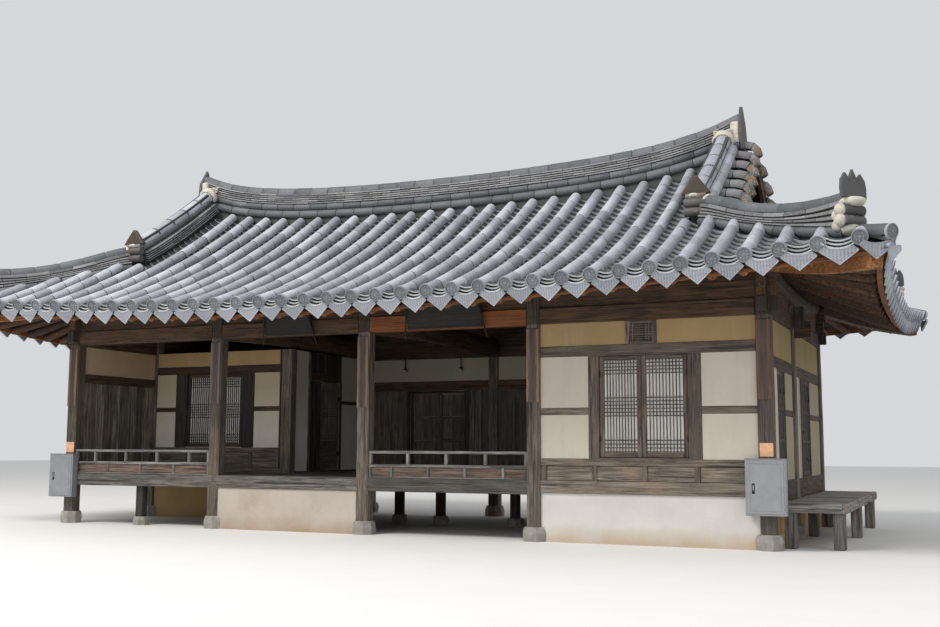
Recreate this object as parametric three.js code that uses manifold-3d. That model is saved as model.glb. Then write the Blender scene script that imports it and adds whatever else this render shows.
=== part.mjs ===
// Hanok house with a hip-and-gable tiled roof, four bays wide.
// Millimetres, +Z up, ground at Z = 0, front facing -Y, origin under the middle of the roof.

import * as THREE from 'three';
import { mergeVertices } from 'three/addons/utils/BufferGeometryUtils.js';
import Module from 'manifold-3d';

const wasm = await Module();
wasm.setup();

// Plan
const BAYS = [2585, 2352, 2366, 2752];
const DEPTH = 4310;
const VERANDA_DEPTH = 1750;
const COLUMN = 174;
const WALL = 100;
const GAP = 0.3;

// Levels
const FLOOR = 720;
const FLOOR_BEAM = 169;
const FLOOR_BOARDS = 50;
const SILL_BOTTOM = 576;
const BEAM_BOTTOM = 2604;
const BEAM_WIDTH = 150;

// Roof, with heights of the tile surface
const EAVE_X = 6390;
const EAVE_Y = 3572;
const FLARE = 130;
const EAVE_HEIGHT = 2880;
const EAVE_LIFT = 280;
const RIDGE_HEIGHT = 4685;
const RIDGE_SAG_2 = 0.0101e-3;
const RIDGE_SAG_6 = 3.38e-20;
const RIDGE_SAG_END = 4500;
const SLOPE_CURVE = 0.33;
const SKIRT_RISE = 1860;
const ROOF_THICKNESS = 280;
const VERGE_X = 4650;
const GABLE_X = 4250;
const GABLE_THICKNESS = 50;

// Ridges of stacked tiles
const MAIN_RIDGE_END = 4450;
const MAIN_RIDGE_RISE = 500;
const DESCENT_X = 4240;
const DESCENT_END_Y = 1850;
const DESCENT_RISE = 400;
const HIP_START = [4310, 1830];
const HIP_END = [6330, 3540];
const HIP_RIDGE_END = [6160, 3395];
const HIP_RISE = { top: 265, fall: 120, upturn: 290, power: 2.6 };
const HIP_HALF_WIDTH = 135;
const RIDGE_HALF_WIDTH = 150;
const RIDGE_SINK = 250;
const MAIN_CREST = { thickness: 50, width: 300, rise: 585 };
const DESCENT_CREST = { thickness: 70, width: 300, rise: 520 };
const HIP_CREST = { thickness: 50, width: 250, rise: 610 };

// Openings in the walls
const ROOM_2_WINDOW = { x: [2968, 4318], z: [990, 2198] };
const ROOM_1_WINDOW = { x: [-4558, -3046], z: [1106, 2257] };
const SIDE_DOOR_Z = [742, 2020];
const SIDE_DOOR_FRONT_Y = [-1808, -1208];
const SIDE_DOOR_REAR_Y = [260, 960];
const HALL_DOOR_Y = [388, 998];
const HALL_DOOR_Z = [742, 2150];
const BACK_DOOR_X = [-1636, -600];
const BACK_DOOR_Z = [760, 2060];
const LEAF = 40;
const LEAF_GAP = 6;
const KNUCKLE = 8;
const KNUCKLE_SIDES = 8;
const KNUCKLE_HEIGHT = 70;
const KNUCKLE_PLACES = [0.18, 0.82];
const STRAP = 80;

// Railings
const RAIL_TOP = 1066;
const RAIL_MIDDLE = 893;
const RAIL = 40;
const RAIL_DEPTH = 60;
const RAIL_SETBACK = 20;
const RAIL_POST_INSET = 5;
const RAIL_PANEL_INSET = 15;
const RAIL_SPACES = 4;

// Posts and piers under the floors
const FLOOR_POST = 120;
const FLOOR_PIER = 370;
const VERANDA_POST_X = -3780;
const HALL_POSTS_X = [-1450, -715, -35, 1140];
const HALL_PIER_X = 810;
const POST_SETBACK = 60;
const PIER_SETBACK = 80;
const FOUNDATION_SETBACK = 20;
const FOUNDATION_THICKNESS = 150;

// Bench on the right side
const BENCH_WIDTH = 710;
const BENCH_STANDOFF = 0.5;
const BENCH_TOP = 510;
const BENCH_Y = [-1900, 2150];
const BENCH_BOARD = 45;
const BENCH_BEAM = 110;
const BENCH_LEG = 130;
const BENCH_LEG_INSET = 30;
const BENCH_LEG_ROWS = 3;

// Metal boxes and name boards
const BOX_SIZE = [440, 120, 620];
const BOX_BOTTOM = 380;
const LEFT_BOX_SHIFT = -50;
const SIGN_TILT = 0.32;
const SIGN_THICKNESS = 30;
const SIGN_STANDOFF = 16;
const SIGN_RISE = 10;
const SIGN_CLEAT = { share: 0.8, depth: 60, z: [40, 90] };
const SIGN_LEFT = { x: -1230, width: 740, height: 280 };
const SIGN_RIGHT = { x: 1100, width: 1040, height: 330 };

const columnX = BAYS.reduce((list, bay) => [...list, list[list.length - 1] + bay], [0])
  .map((x) => x - BAYS.reduce((sum, bay) => sum + bay, 0) / 2);
const FRONT_Y = -DEPTH / 2;
const REAR_Y = DEPTH / 2;
const MIDDLE_Y = FRONT_Y + VERANDA_DEPTH;
const HALF_COLUMN = COLUMN / 2;
const HALF_WALL = WALL / 2;

const house = new THREE.Group();

const material = (color, roughness = 0.8, metalness = 0) =>
  new THREE.MeshStandardMaterial({ color, roughness, metalness });
const timber = material(0x6a5a4c);
const darkTimber = material(0x4a3f37);
const plaster = material(0xd8d2c2, 0.95);
const whitePlaster = material(0xe8e6de, 0.95);
const tiles = material(0x7d8894, 0.7);
const paper = material(0xe6e4dc, 0.9);
const greyMetal = material(0x9aa0a6, 0.5, 0.6);

// Solids and booleans

function toSolid(geometry) {
  const bare = geometry.clone();
  bare.deleteAttribute('normal');
  bare.deleteAttribute('uv');
  const merged = mergeVertices(bare, 1e-4);
  return new wasm.Manifold(new wasm.Mesh({
    numProp: 3,
    vertProperties: Float32Array.from(merged.attributes.position.array),
    triVerts: Uint32Array.from(merged.index.array),
  }));
}

function toGeometry(solid) {
  const mesh = solid.getMesh();
  const geometry = new THREE.BufferGeometry();
  geometry.setAttribute('position', new THREE.BufferAttribute(Float32Array.from(mesh.vertProperties), 3));
  geometry.setIndex(new THREE.BufferAttribute(Uint32Array.from(mesh.triVerts), 1));
  geometry.computeVertexNormals();
  return geometry;
}

function block(x, y, z) {
  const geometry = new THREE.BoxGeometry(x[1] - x[0], y[1] - y[0], z[1] - z[0]);
  geometry.translate((x[0] + x[1]) / 2, (y[0] + y[1]) / 2, (z[0] + z[1]) / 2);
  return toSolid(geometry);
}

const union = (solids) => solids.reduce((sum, solid) => sum.add(solid));
const around = (centre, width) => [centre - width / 2, centre + width / 2];
const grown = (span) => [span[0] - GAP, span[1] + GAP];
const shrunk = (span) => [span[0] + GAP, span[1] - GAP];

function addPiece(name, solid, look) {
  const mesh = new THREE.Mesh(toGeometry(solid), look);
  mesh.name = name;
  house.add(mesh);
  return mesh;
}

// Roof surface

const eaveY = (x) => EAVE_Y + FLARE * (x / EAVE_X) ** 4;
const eaveX = (y) => EAVE_X + FLARE * (y / EAVE_Y) ** 4;
const slope = (t) => t * (1 - SLOPE_CURVE) + t * t * SLOPE_CURVE;

function ridgeHeight(x) {
  const run = Math.min(Math.abs(x), RIDGE_SAG_END);
  return RIDGE_HEIGHT + RIDGE_SAG_2 * run ** 2 + RIDGE_SAG_6 * run ** 6;
}

function mainSlope(x, y) {
  const eave = EAVE_HEIGHT + EAVE_LIFT * (x / EAVE_X) ** 2;
  const t = 1 - Math.abs(y) / eaveY(x);
  return eave + (ridgeHeight(x) - eave) * slope(t);
}

function sideSlope(x, y) {
  const eave = EAVE_HEIGHT + EAVE_LIFT * (y / EAVE_Y) ** 2;
  const t = (eaveX(y) - Math.abs(x)) / EAVE_Y;
  return eave + SKIRT_RISE * (t > 0 ? slope(t) : t);
}

// Everything under a surface, over the curved plan of the eaves
function underSurface(height, stepsX, stepsY, base) {
  const positions = [];
  const indices = [];
  const row = stepsY + 1;
  const layer = (stepsX + 1) * row;
  for (const top of [true, false]) {
    for (let i = 0; i <= stepsX; i += 1) {
      for (let j = 0; j <= stepsY; j += 1) {
        const u = (2 * i) / stepsX - 1;
        const v = (2 * j) / stepsY - 1;
        const x = u * eaveX(v * EAVE_Y);
        const y = v * eaveY(u * EAVE_X);
        positions.push(x, y, top ? height(x, y) : base);
      }
    }
  }
  const at = (i, j, low) => i * row + j + (low ? layer : 0);
  for (let i = 0; i < stepsX; i += 1) {
    for (let j = 0; j < stepsY; j += 1) {
      indices.push(at(i, j), at(i + 1, j), at(i + 1, j + 1), at(i, j), at(i + 1, j + 1), at(i, j + 1));
      indices.push(at(i, j, true), at(i + 1, j + 1, true), at(i + 1, j, true));
      indices.push(at(i, j, true), at(i, j + 1, true), at(i + 1, j + 1, true));
    }
  }
  const skirt = (a, b, c, d) => indices.push(a, b, c, b, d, c);
  for (let i = 0; i < stepsX; i += 1) {
    skirt(at(i + 1, 0), at(i, 0), at(i + 1, 0, true), at(i, 0, true));
    skirt(at(i, stepsY), at(i + 1, stepsY), at(i, stepsY, true), at(i + 1, stepsY, true));
  }
  for (let j = 0; j < stepsY; j += 1) {
    skirt(at(0, j), at(0, j + 1), at(0, j, true), at(0, j + 1, true));
    skirt(at(stepsX, j + 1), at(stepsX, j), at(stepsX, j + 1, true), at(stepsX, j, true));
  }
  const geometry = new THREE.BufferGeometry();
  geometry.setAttribute('position', new THREE.Float32BufferAttribute(positions, 3));
  geometry.setIndex(indices);
  return toSolid(geometry);
}

const FAR = 9000;
const underMain = underSurface(mainSlope, 28, 14, 0);
const underSides = underSurface(sideSlope, 20, 14, 0);
const lowered = (solid, drop) => solid.translate([0, 0, -drop]);
const underHips = underMain.intersect(underSides);
const band = (inner, outer) => union([
  block([inner, outer], [-FAR, FAR], [-FAR, FAR]),
  block([-outer, -inner], [-FAR, FAR], [-FAR, FAR]),
]);
const gabledPart = underMain.intersect(block([-VERGE_X, VERGE_X], [-FAR, FAR], [-FAR, FAR]));
const hippedPart = underHips.intersect(band(GABLE_X - GABLE_THICKNESS, FAR));
const underRoof = gabledPart.add(hippedPart);
const shellUnder = (part, full) => part.subtract(lowered(full, ROOF_THICKNESS));
const gabledShell = shellUnder(gabledPart, underMain);
const hippedShell = shellUnder(hippedPart, underHips);
const attic = lowered(underMain, ROOF_THICKNESS + GAP);
const atticOverSides = lowered(underHips, ROOF_THICKNESS + GAP);

// The deck is four slopes: front and rear meet under the main ridge, the ends run in under the verges
const HIP_FAR = 3;

// Everything beyond the two hips of one end, seen in plan
function endOfPlan(side, clearance) {
  const run = [(HIP_END[0] - HIP_START[0]) * HIP_FAR, (HIP_END[1] - HIP_START[1]) * HIP_FAR];
  const start = [GABLE_X - GABLE_THICKNESS * 2, HIP_START[1] + clearance];
  const hip = [HIP_START[0], HIP_START[1] + clearance];
  const corner = [hip[0] + run[0], hip[1] + run[1]];
  const outline = [[start[0], -start[1]], [hip[0], -hip[1]], [corner[0], -corner[1]],
    [corner[0], corner[1]], [hip[0], hip[1]], [start[0], start[1]]];
  const turned = side > 0 ? outline : outline.map(([x, y]) => [-x, y]).reverse();
  return new wasm.CrossSection([turned]).extrude(FAR);
}
const bothEnds = (clearance) => endOfPlan(1, clearance).add(endOfPlan(-1, clearance));
const longShell = gabledShell.add(hippedShell.subtract(bothEnds(GAP)));
const ridgeJoint = block([-FAR, FAR], [-GAP / 2, GAP / 2], [-FAR, FAR]);
const half = (side) => block([-FAR, FAR], side > 0 ? [0, FAR] : [-FAR, 0], [-FAR, FAR]);
addPiece('roof_front', longShell.subtract(ridgeJoint).intersect(half(-1)), tiles);
addPiece('roof_rear', longShell.subtract(ridgeJoint).intersect(half(1)), tiles);
const clearOfGables = attic.add(band(VERGE_X + GAP, FAR));
for (const [name, side] of [['roof_left', -1], ['roof_right', 1]]) {
  addPiece(name, hippedShell.intersect(endOfPlan(side, 0)).intersect(clearOfGables), tiles);
}

// Ridges: a section swept along a path in plan, standing on the tile surface.
// riseAt gives the height of the top over the tiles for a share of the path.
function sweptRidge(path, halfWidth, riseAt, height) {
  const ring = [[-1, -RIDGE_SINK], [1, -RIDGE_SINK], [1, 0.4], [0.72, 0.45], [0.72, 0.85], [0.4, 1],
    [-0.4, 1], [-0.72, 0.85], [-0.72, 0.45], [-1, 0.4]];
  const positions = [];
  const indices = [];
  path.forEach(([x, y], i) => {
    const before = path[Math.max(i - 1, 0)];
    const after = path[Math.min(i + 1, path.length - 1)];
    const run = Math.hypot(after[0] - before[0], after[1] - before[1]);
    const side = [-(after[1] - before[1]) / run, (after[0] - before[0]) / run];
    const rise = riseAt(i / (path.length - 1));
    ring.forEach(([across, share]) => {
      const up = share < 0 ? share : share * rise;
      positions.push(x - side[0] * across * halfWidth, y - side[1] * across * halfWidth, height(x, y) + up);
    });
  });
  const n = ring.length;
  for (let i = 0; i < path.length - 1; i += 1) {
    for (let k = 0; k < n; k += 1) {
      const a = i * n + k;
      const b = i * n + ((k + 1) % n);
      indices.push(a, a + n, b, b, a + n, b + n);
    }
  }
  for (let k = 1; k < n - 1; k += 1) {
    indices.push(0, k, k + 1);
    const last = (path.length - 1) * n;
    indices.push(last, last + k + 1, last + k);
  }
  const geometry = new THREE.BufferGeometry();
  geometry.setAttribute('position', new THREE.Float32BufferAttribute(positions, 3));
  geometry.setIndex(indices);
  return toSolid(geometry);
}

function line(from, to, steps) {
  return Array.from({ length: steps + 1 }, (_, i) => [
    from[0] + ((to[0] - from[0]) * i) / steps,
    from[1] + ((to[1] - from[1]) * i) / steps,
  ]);
}

const clearOfRoof = underRoof.translate([0, 0, GAP]);
const onRoof = (solid) => solid.subtract(clearOfRoof);

const mainRidgePath = line([-MAIN_RIDGE_END, 0], [MAIN_RIDGE_END, 0], 20);
const mainRidgeBody = sweptRidge(mainRidgePath, RIDGE_HALF_WIDTH, () => MAIN_RIDGE_RISE, ridgeHeight);

// An upright tile that closes the end of a ridge, standing across it
function crestTile(size, place, outward, foot) {
  const plate = new THREE.BoxGeometry(size.thickness, size.width, size.rise);
  plate.translate(0, 0, size.rise / 2);
  plate.rotateZ(Math.atan2(outward[1], outward[0]));
  plate.translate(place[0], place[1], foot);
  return toSolid(plate);
}
const mainCrests = [-1, 1].map((side) =>
  crestTile(MAIN_CREST, [side * MAIN_RIDGE_END, 0], [side, 0], ridgeHeight(MAIN_RIDGE_END)));
addPiece('main_ridge', onRoof(union([mainRidgeBody, ...mainCrests])), tiles);

const hipped = (x, y) => Math.min(mainSlope(x, y), sideSlope(x, y));
const hipRise = (share) => HIP_RISE.top - HIP_RISE.fall * share + HIP_RISE.upturn * share ** HIP_RISE.power;
function cornerRidge(sideX, sideY) {
  const flip = (points) => points.map(([x, y]) => [x * sideX, y * sideY]);
  const descent = line([DESCENT_X, RIDGE_HALF_WIDTH + GAP], [DESCENT_X, DESCENT_END_Y], 6);
  const hip = line(HIP_START, HIP_RIDGE_END, 9);
  const upper = sweptRidge(flip(descent), RIDGE_HALF_WIDTH, () => DESCENT_RISE, mainSlope);
  const lower = sweptRidge(flip(hip), HIP_HALF_WIDTH, hipRise, hipped);
  const descentFoot = [DESCENT_X * sideX, (DESCENT_END_Y - DESCENT_CREST.thickness / 2) * sideY];
  const hipFoot = [HIP_RIDGE_END[0] * sideX, HIP_RIDGE_END[1] * sideY];
  const outward = [(HIP_END[0] - HIP_START[0]) * sideX, (HIP_END[1] - HIP_START[1]) * sideY];
  const descentCrest = crestTile(DESCENT_CREST, descentFoot, [0, sideY], mainSlope(...descentFoot));
  const hipCrest = crestTile(HIP_CREST, hipFoot, outward, hipped(...hipFoot));
  return onRoof(union([upper, lower, descentCrest, hipCrest]));
}

const corners = { front_left: [-1, -1], front_right: [1, -1], rear_left: [-1, 1], rear_right: [1, 1] };
for (const [place, sides] of Object.entries(corners)) {
  addPiece(`roof_ridge_${place}`, cornerRidge(...sides), tiles);
}

// Gables: boarded triangles between the side slopes and the verges
for (const [name, side] of [['gable_left', -1], ['gable_right', 1]]) {
  const slab = block(around(side * GABLE_X, GABLE_THICKNESS), [-FAR, FAR], [EAVE_HEIGHT, FAR]);
  addPiece(name, slab.intersect(attic).subtract(underHips.translate([0, 0, GAP])), darkTimber);
}

// Columns
const frontSpots = columnX.map((x) => [x, FRONT_Y]);
const rearSpots = columnX.map((x) => [x, REAR_Y]);
const middleSpots = [0, 1, 4].map((i) => [columnX[i], MIDDLE_Y]);
const column = ([x, y], extra = 0, top = BEAM_BOTTOM) =>
  block(around(x, COLUMN + extra), around(y, COLUMN + extra), [0, top]);
frontSpots.forEach((spot, i) => addPiece(`front_column_${i + 1}`, column(spot), timber));
addPiece('hall_middle_column', column(middleSpots[1]), timber);
const allColumns = union([...frontSpots, ...rearSpots, ...middleSpots].map((spot) => column(spot, 2 * GAP)));
const clearOfColumns = (solid) => solid.subtract(allColumns);

// Beams over the columns, each carrying the roof
const outerX = columnX[4] + HALF_COLUMN;
const BEAM_TOP = 3500;
const beamBox = (x, y) => block(x, y, [BEAM_BOTTOM, BEAM_TOP]).intersect(atticOverSides);
const TENON = 60;
const tenoned = (spot) => column(spot, -TENON, BEAM_BOTTOM + TENON).add(column(spot));
addPiece('front_beam', beamBox([-outerX, outerX], around(FRONT_Y, BEAM_WIDTH)), timber);
const rearBeam = beamBox([-outerX, outerX], around(REAR_Y, BEAM_WIDTH));
addPiece('rear_frame', union([rearBeam, ...rearSpots.map(tenoned)]), timber);
const betweenBeams = shrunk([FRONT_Y + BEAM_WIDTH / 2, REAR_Y - BEAM_WIDTH / 2]);
const sideFrame = (x, spot) => beamBox(around(x, BEAM_WIDTH), betweenBeams).add(tenoned(spot));
addPiece('left_frame', sideFrame(columnX[0], middleSpots[0]), timber);
addPiece('right_frame', sideFrame(columnX[4], middleSpots[2]), timber);

const CROSS_BEAM = [220, 300];
const KING_POST = 200;
const RIDGE_PURLIN = [200, 4150];
for (const i of [1, 2, 3]) {
  const beam = block(around(columnX[i], CROSS_BEAM[0]), betweenBeams, [BEAM_BOTTOM + GAP, BEAM_BOTTOM + CROSS_BEAM[1]]);
  const post = block(around(columnX[i], KING_POST), around(0, KING_POST), [BEAM_BOTTOM + 10, RIDGE_PURLIN[1] - GAP]);
  addPiece(`cross_beam_${i}`, beam.add(post), timber);
}
const purlinEnd = GABLE_X - GABLE_THICKNESS / 2 - GAP;
const purlin = block([-purlinEnd, purlinEnd], around(0, RIDGE_PURLIN[0]), [RIDGE_PURLIN[1], FAR]);
addPiece('ridge_purlin', purlin.intersect(attic), timber);

// Walls, thinner than the columns and centred between them
const wallTop = BEAM_BOTTOM - GAP;
const betweenX = (a, b) => [columnX[a] + HALF_COLUMN + GAP, columnX[b] - HALF_COLUMN - GAP];
const betweenY = (a, b) => [a + HALF_COLUMN + GAP, b - HALF_COLUMN - GAP];
const wallAcross = (x, y, z) => block(x, around(y, WALL), z);
const wallAlong = (x, y, z) => block(around(x, WALL), y, z);

const fullHeight = [SILL_BOTTOM + GAP, wallTop];
const floorHeight = [FLOOR - FLOOR_BEAM, wallTop];
const hole = (solid, x, y, z) => solid.subtract(block(grown(x), y, grown(z)));
const through = (wallLine) => around(wallLine, WALL * 3);

addPiece('room_2_front_wall', hole(wallAcross(betweenX(3, 4), FRONT_Y, fullHeight),
  ROOM_2_WINDOW.x, through(FRONT_Y), ROOM_2_WINDOW.z), plaster);
addPiece('room_1_front_wall', hole(wallAcross(betweenX(0, 1), MIDDLE_Y, fullHeight),
  ROOM_1_WINDOW.x, through(MIDDLE_Y), ROOM_1_WINDOW.z), plaster);
addPiece('room_1_back_wall', wallAcross(betweenX(0, 1), REAR_Y, fullHeight), plaster);
addPiece('room_2_back_wall', wallAcross(betweenX(3, 4), REAR_Y, fullHeight), plaster);
addPiece('room_1_side_wall', wallAlong(columnX[0], betweenY(MIDDLE_Y, REAR_Y), fullHeight), plaster);
addPiece('room_2_hall_wall', wallAlong(columnX[3], betweenY(FRONT_Y, REAR_Y), fullHeight), plaster);
addPiece('veranda_end_wall', wallAlong(columnX[0], betweenY(FRONT_Y, MIDDLE_Y), floorHeight), darkTimber);
addPiece('hall_back_wall_right', wallAcross(betweenX(2, 3), REAR_Y, floorHeight), darkTimber);

// A wall beside and over a doorway: the part with the lintel, and the part beyond the door
function wallWithDoor(name, span, door, z, doorZ, make, look) {
  const near = make([span[0], door[0]], z);
  const over = make([span[0], span[1]], [doorZ[1], z[1]]);
  const under = make([span[0], span[1]], [z[0], doorZ[0]]);
  const far = make(shrunk([door[1] - GAP, span[1] + GAP]), shrunk(doorZ));
  addPiece(`${name}_frame`, union([near, over, under]), look);
  addPiece(`${name}_panel`, far, look);
}
const rightWall = (y, z) => wallAlong(columnX[4], y, z);
wallWithDoor('right_wall_front', betweenY(FRONT_Y, MIDDLE_Y), SIDE_DOOR_FRONT_Y, fullHeight, SIDE_DOOR_Z,
  rightWall, plaster);
wallWithDoor('right_wall_rear', betweenY(MIDDLE_Y, REAR_Y), SIDE_DOOR_REAR_Y, fullHeight, SIDE_DOOR_Z,
  rightWall, plaster);
wallWithDoor('room_1_hall_wall', betweenY(MIDDLE_Y, REAR_Y), HALL_DOOR_Y, fullHeight, HALL_DOOR_Z,
  (y, z) => wallAlong(columnX[1], y, z), plaster);
wallWithDoor('hall_back_wall_left', betweenX(1, 2), BACK_DOOR_X, floorHeight, BACK_DOOR_Z,
  (x, z) => wallAcross(x, REAR_Y, z), darkTimber);

// Windows that stay shut
const SASH = 70;
const SASH_FORWARD = 10;
const shutWindow = (name, place, y) =>
  addPiece(name, block(place.x, around(y - SASH_FORWARD, SASH), place.z), paper);
shutWindow('room_2_window', ROOM_2_WINDOW, FRONT_Y);
shutWindow('room_1_window', ROOM_1_WINDOW, MIDDLE_Y);

// Doors: each leaf turns on iron knuckles that stand just proud of its wall
function doorLeaf(name, hinge, turn, side, width, z) {
  const across = (from, to) => (side > 0 ? [from, to] : [-to, -from]);
  const pinGap = LEAF_GAP / 2;
  const height = z[1] - z[0] - 2 * LEAF_GAP;
  const bottom = z[0] + LEAF_GAP;
  const parts = [block(across(pinGap, width), [-KNUCKLE - GAP - LEAF, -KNUCKLE - GAP], [0, height])];
  for (const share of KNUCKLE_PLACES) {
    const level = height * share;
    const halfSide = Math.PI / KNUCKLE_SIDES;
    const radius = KNUCKLE / Math.cos(halfSide);
    const knuckle = new THREE.CylinderGeometry(radius, radius, KNUCKLE_HEIGHT, KNUCKLE_SIDES);
    knuckle.rotateY(halfSide);
    knuckle.rotateX(Math.PI / 2);
    knuckle.translate(0, 0, level);
    parts.push(toSolid(knuckle));
    parts.push(block(across(0, STRAP), [-KNUCKLE - GAP - 1, -KNUCKLE / 2], around(level, KNUCKLE_HEIGHT / 2)));
  }
  const leaf = addPiece(name, union(parts), darkTimber);
  leaf.position.set(hinge[0], hinge[1], bottom);
  leaf.rotation.z = turn;
}
const pin = KNUCKLE + GAP;
const pinInset = LEAF_GAP / 2;
const leafWidth = (y) => y[1] - y[0] - LEAF_GAP - pinInset;
const outerFace = columnX[4] + HALF_WALL + pin;
doorLeaf('side_door_front', [outerFace, SIDE_DOOR_FRONT_Y[1] - pinInset], -Math.PI / 2, 1,
  leafWidth(SIDE_DOOR_FRONT_Y), SIDE_DOOR_Z);
doorLeaf('side_door_rear', [outerFace, SIDE_DOOR_REAR_Y[1] - pinInset], -Math.PI / 2, 1,
  leafWidth(SIDE_DOOR_REAR_Y), SIDE_DOOR_Z);
doorLeaf('room_1_door', [columnX[1] + HALF_WALL + pin, HALL_DOOR_Y[1] - pinInset], -Math.PI / 2, 1,
  leafWidth(HALL_DOOR_Y), HALL_DOOR_Z);
const backFace = REAR_Y + HALF_WALL + pin;
const backWidth = (BACK_DOOR_X[1] - BACK_DOOR_X[0] - LEAF_GAP) / 2 - pinInset;
doorLeaf('back_door_left', [BACK_DOOR_X[0] + pinInset, backFace], 0, 1, backWidth, BACK_DOOR_Z);
doorLeaf('back_door_right', [BACK_DOOR_X[1] - pinInset, backFace], 0, -1, backWidth, BACK_DOOR_Z);

// Floors: boards on a ring of beams, and masonry bases under the heated rooms
function boardedFloor(x, y, posts) {
  const floor = [block(x, y, [FLOOR - FLOOR_BOARDS, FLOOR])];
  const ring = block(x, y, [FLOOR - FLOOR_BEAM, FLOOR]).subtract(
    block([x[0] + COLUMN, x[1] - COLUMN], [y[0] + COLUMN, y[1] - COLUMN], [0, FLOOR * 2]));
  floor.push(ring);
  for (const [px, py, width] of posts) {
    floor.push(block(around(px, width), around(py, FLOOR_POST), [0, FLOOR - FLOOR_BOARDS / 2]));
  }
  return union(floor);
}
const insideWall = HALF_WALL + GAP;
const frontFace = FRONT_Y - HALF_COLUMN;
const verandaX = [columnX[0] + insideWall, columnX[1] - GAP];
addPiece('veranda_floor', clearOfColumns(boardedFloor(verandaX, [frontFace, MIDDLE_Y - insideWall],
  [[VERANDA_POST_X, FRONT_Y + POST_SETBACK, FLOOR_POST]])), timber);

const foundationY = [frontFace + FOUNDATION_SETBACK, frontFace + FOUNDATION_SETBACK + FOUNDATION_THICKNESS];
const hallX = [columnX[1] + insideWall, columnX[3] - insideWall];
const hallFloorBack = REAR_Y - insideWall;
const hallPosts = HALL_POSTS_X.map((x) => [x, 0, FLOOR_POST]);
hallPosts.push([HALL_PIER_X, hallFloorBack - PIER_SETBACK, FLOOR_PIER]);
const hallRear = boardedFloor(hallX, [frontFace, hallFloorBack], hallPosts);
const hallNear = boardedFloor([columnX[1], columnX[2]], [frontFace, MIDDLE_Y - insideWall], []);
addPiece('hall_floor', clearOfColumns(hallRear.add(hallNear)), timber);
addPiece('hall_foundation_wall', block(betweenX(1, 2), foundationY, [0, FLOOR - FLOOR_BEAM - GAP]), whitePlaster);

function roomBase(name, x, y, inner) {
  const lower = block(x, y, [0, SILL_BOTTOM]);
  const upper = block(inner.x, inner.y, [SILL_BOTTOM - 1, FLOOR]);
  addPiece(name, clearOfColumns(lower.add(upper)), whitePlaster);
}
roomBase('room_1_base', [columnX[0] - HALF_WALL, columnX[1] + HALF_WALL],
  [MIDDLE_Y - HALF_WALL, REAR_Y + HALF_WALL],
  { x: [columnX[0] + insideWall, columnX[1] - insideWall], y: [MIDDLE_Y + insideWall, REAR_Y - insideWall] });
roomBase('room_2_base', [columnX[3] - HALF_WALL, columnX[4] + HALF_WALL],
  [FRONT_Y - HALF_WALL, REAR_Y + HALF_WALL],
  { x: [columnX[3] + insideWall, columnX[4] - insideWall], y: [FRONT_Y + insideWall, REAR_Y - insideWall] });

// Railings of the veranda and of the right half of the hall
function railing(name, bay) {
  const x = betweenX(bay, bay + 1);
  const y = [frontFace + RAIL_SETBACK, frontFace + RAIL_SETBACK + RAIL_DEPTH];
  const inside = (inset) => [y[0] + inset, y[1] - inset];
  const parts = [
    block(x, y, [RAIL_TOP - RAIL, RAIL_TOP]),
    block(x, y, [RAIL_MIDDLE - RAIL, RAIL_MIDDLE]),
    block(x, inside(RAIL_PANEL_INSET), [FLOOR + GAP, RAIL_MIDDLE - RAIL + 1]),
  ];
  for (let i = 0; i <= RAIL_SPACES; i += 1) {
    const px = x[0] + RAIL / 2 + ((x[1] - x[0] - RAIL) * i) / RAIL_SPACES;
    parts.push(block(around(px, RAIL), inside(RAIL_POST_INSET), [RAIL_MIDDLE - 1, RAIL_TOP - 1]));
  }
  addPiece(name, union(parts), timber);
}
railing('veranda_railing', 0);
railing('hall_railing', 2);

// Bench along the right side
const benchStart = columnX[4] + HALF_COLUMN + BENCH_STANDOFF;
const benchX = [benchStart, benchStart + BENCH_WIDTH];
const benchInside = (span) => [span[0] + BENCH_BOARD, span[1] - BENCH_BOARD];
const benchTop = block(benchX, BENCH_Y, [BENCH_TOP - BENCH_BEAM, BENCH_TOP]).subtract(
  block(benchInside(benchX), benchInside(BENCH_Y), [0, BENCH_TOP - BENCH_BOARD]));
const benchParts = [benchTop];
const legReach = BENCH_LEG / 2 + BENCH_LEG_INSET;
for (const legX of [benchX[0] + legReach, benchX[1] - legReach]) {
  for (let i = 0; i < BENCH_LEG_ROWS; i += 1) {
    const legY = BENCH_Y[0] + legReach + ((BENCH_Y[1] - BENCH_Y[0] - 2 * legReach) * i) / (BENCH_LEG_ROWS - 1);
    benchParts.push(block(around(legX, BENCH_LEG), around(legY, BENCH_LEG), [0, BENCH_TOP - BENCH_BOARD / 2]));
  }
}
addPiece('side_bench', union(benchParts), timber);

// Metal boxes on the end columns
function metalBox(name, x) {
  const y = [frontFace - BOX_SIZE[1], frontFace - GAP];
  addPiece(name, block(around(x, BOX_SIZE[0]), y, [BOX_BOTTOM, BOX_BOTTOM + BOX_SIZE[2]]), greyMetal);
}
metalBox('metal_box_left', columnX[0] + LEFT_BOX_SHIFT);
metalBox('metal_box_right', columnX[4]);

// Bare name boards, leaning forward from the front beam
function nameBoard(name, { x, width, height }) {
  const bottom = BEAM_BOTTOM + SIGN_RISE;
  const board = new THREE.BoxGeometry(width, SIGN_THICKNESS, height);
  board.translate(0, -SIGN_THICKNESS / 2, height / 2);
  board.rotateX(SIGN_TILT);
  const beamFace = FRONT_Y - BEAM_WIDTH / 2 - GAP;
  board.translate(x, beamFace - SIGN_STANDOFF, bottom);
  const cleat = block(around(x, width * SIGN_CLEAT.share), [beamFace - SIGN_CLEAT.depth, beamFace],
    [bottom + SIGN_CLEAT.z[0], bottom + SIGN_CLEAT.z[1]]);
  addPiece(name, toSolid(board).add(cleat), darkTimber);
}
nameBoard('name_board_left', SIGN_LEFT);
nameBoard('name_board_right', SIGN_RIGHT);

export default house;
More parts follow.
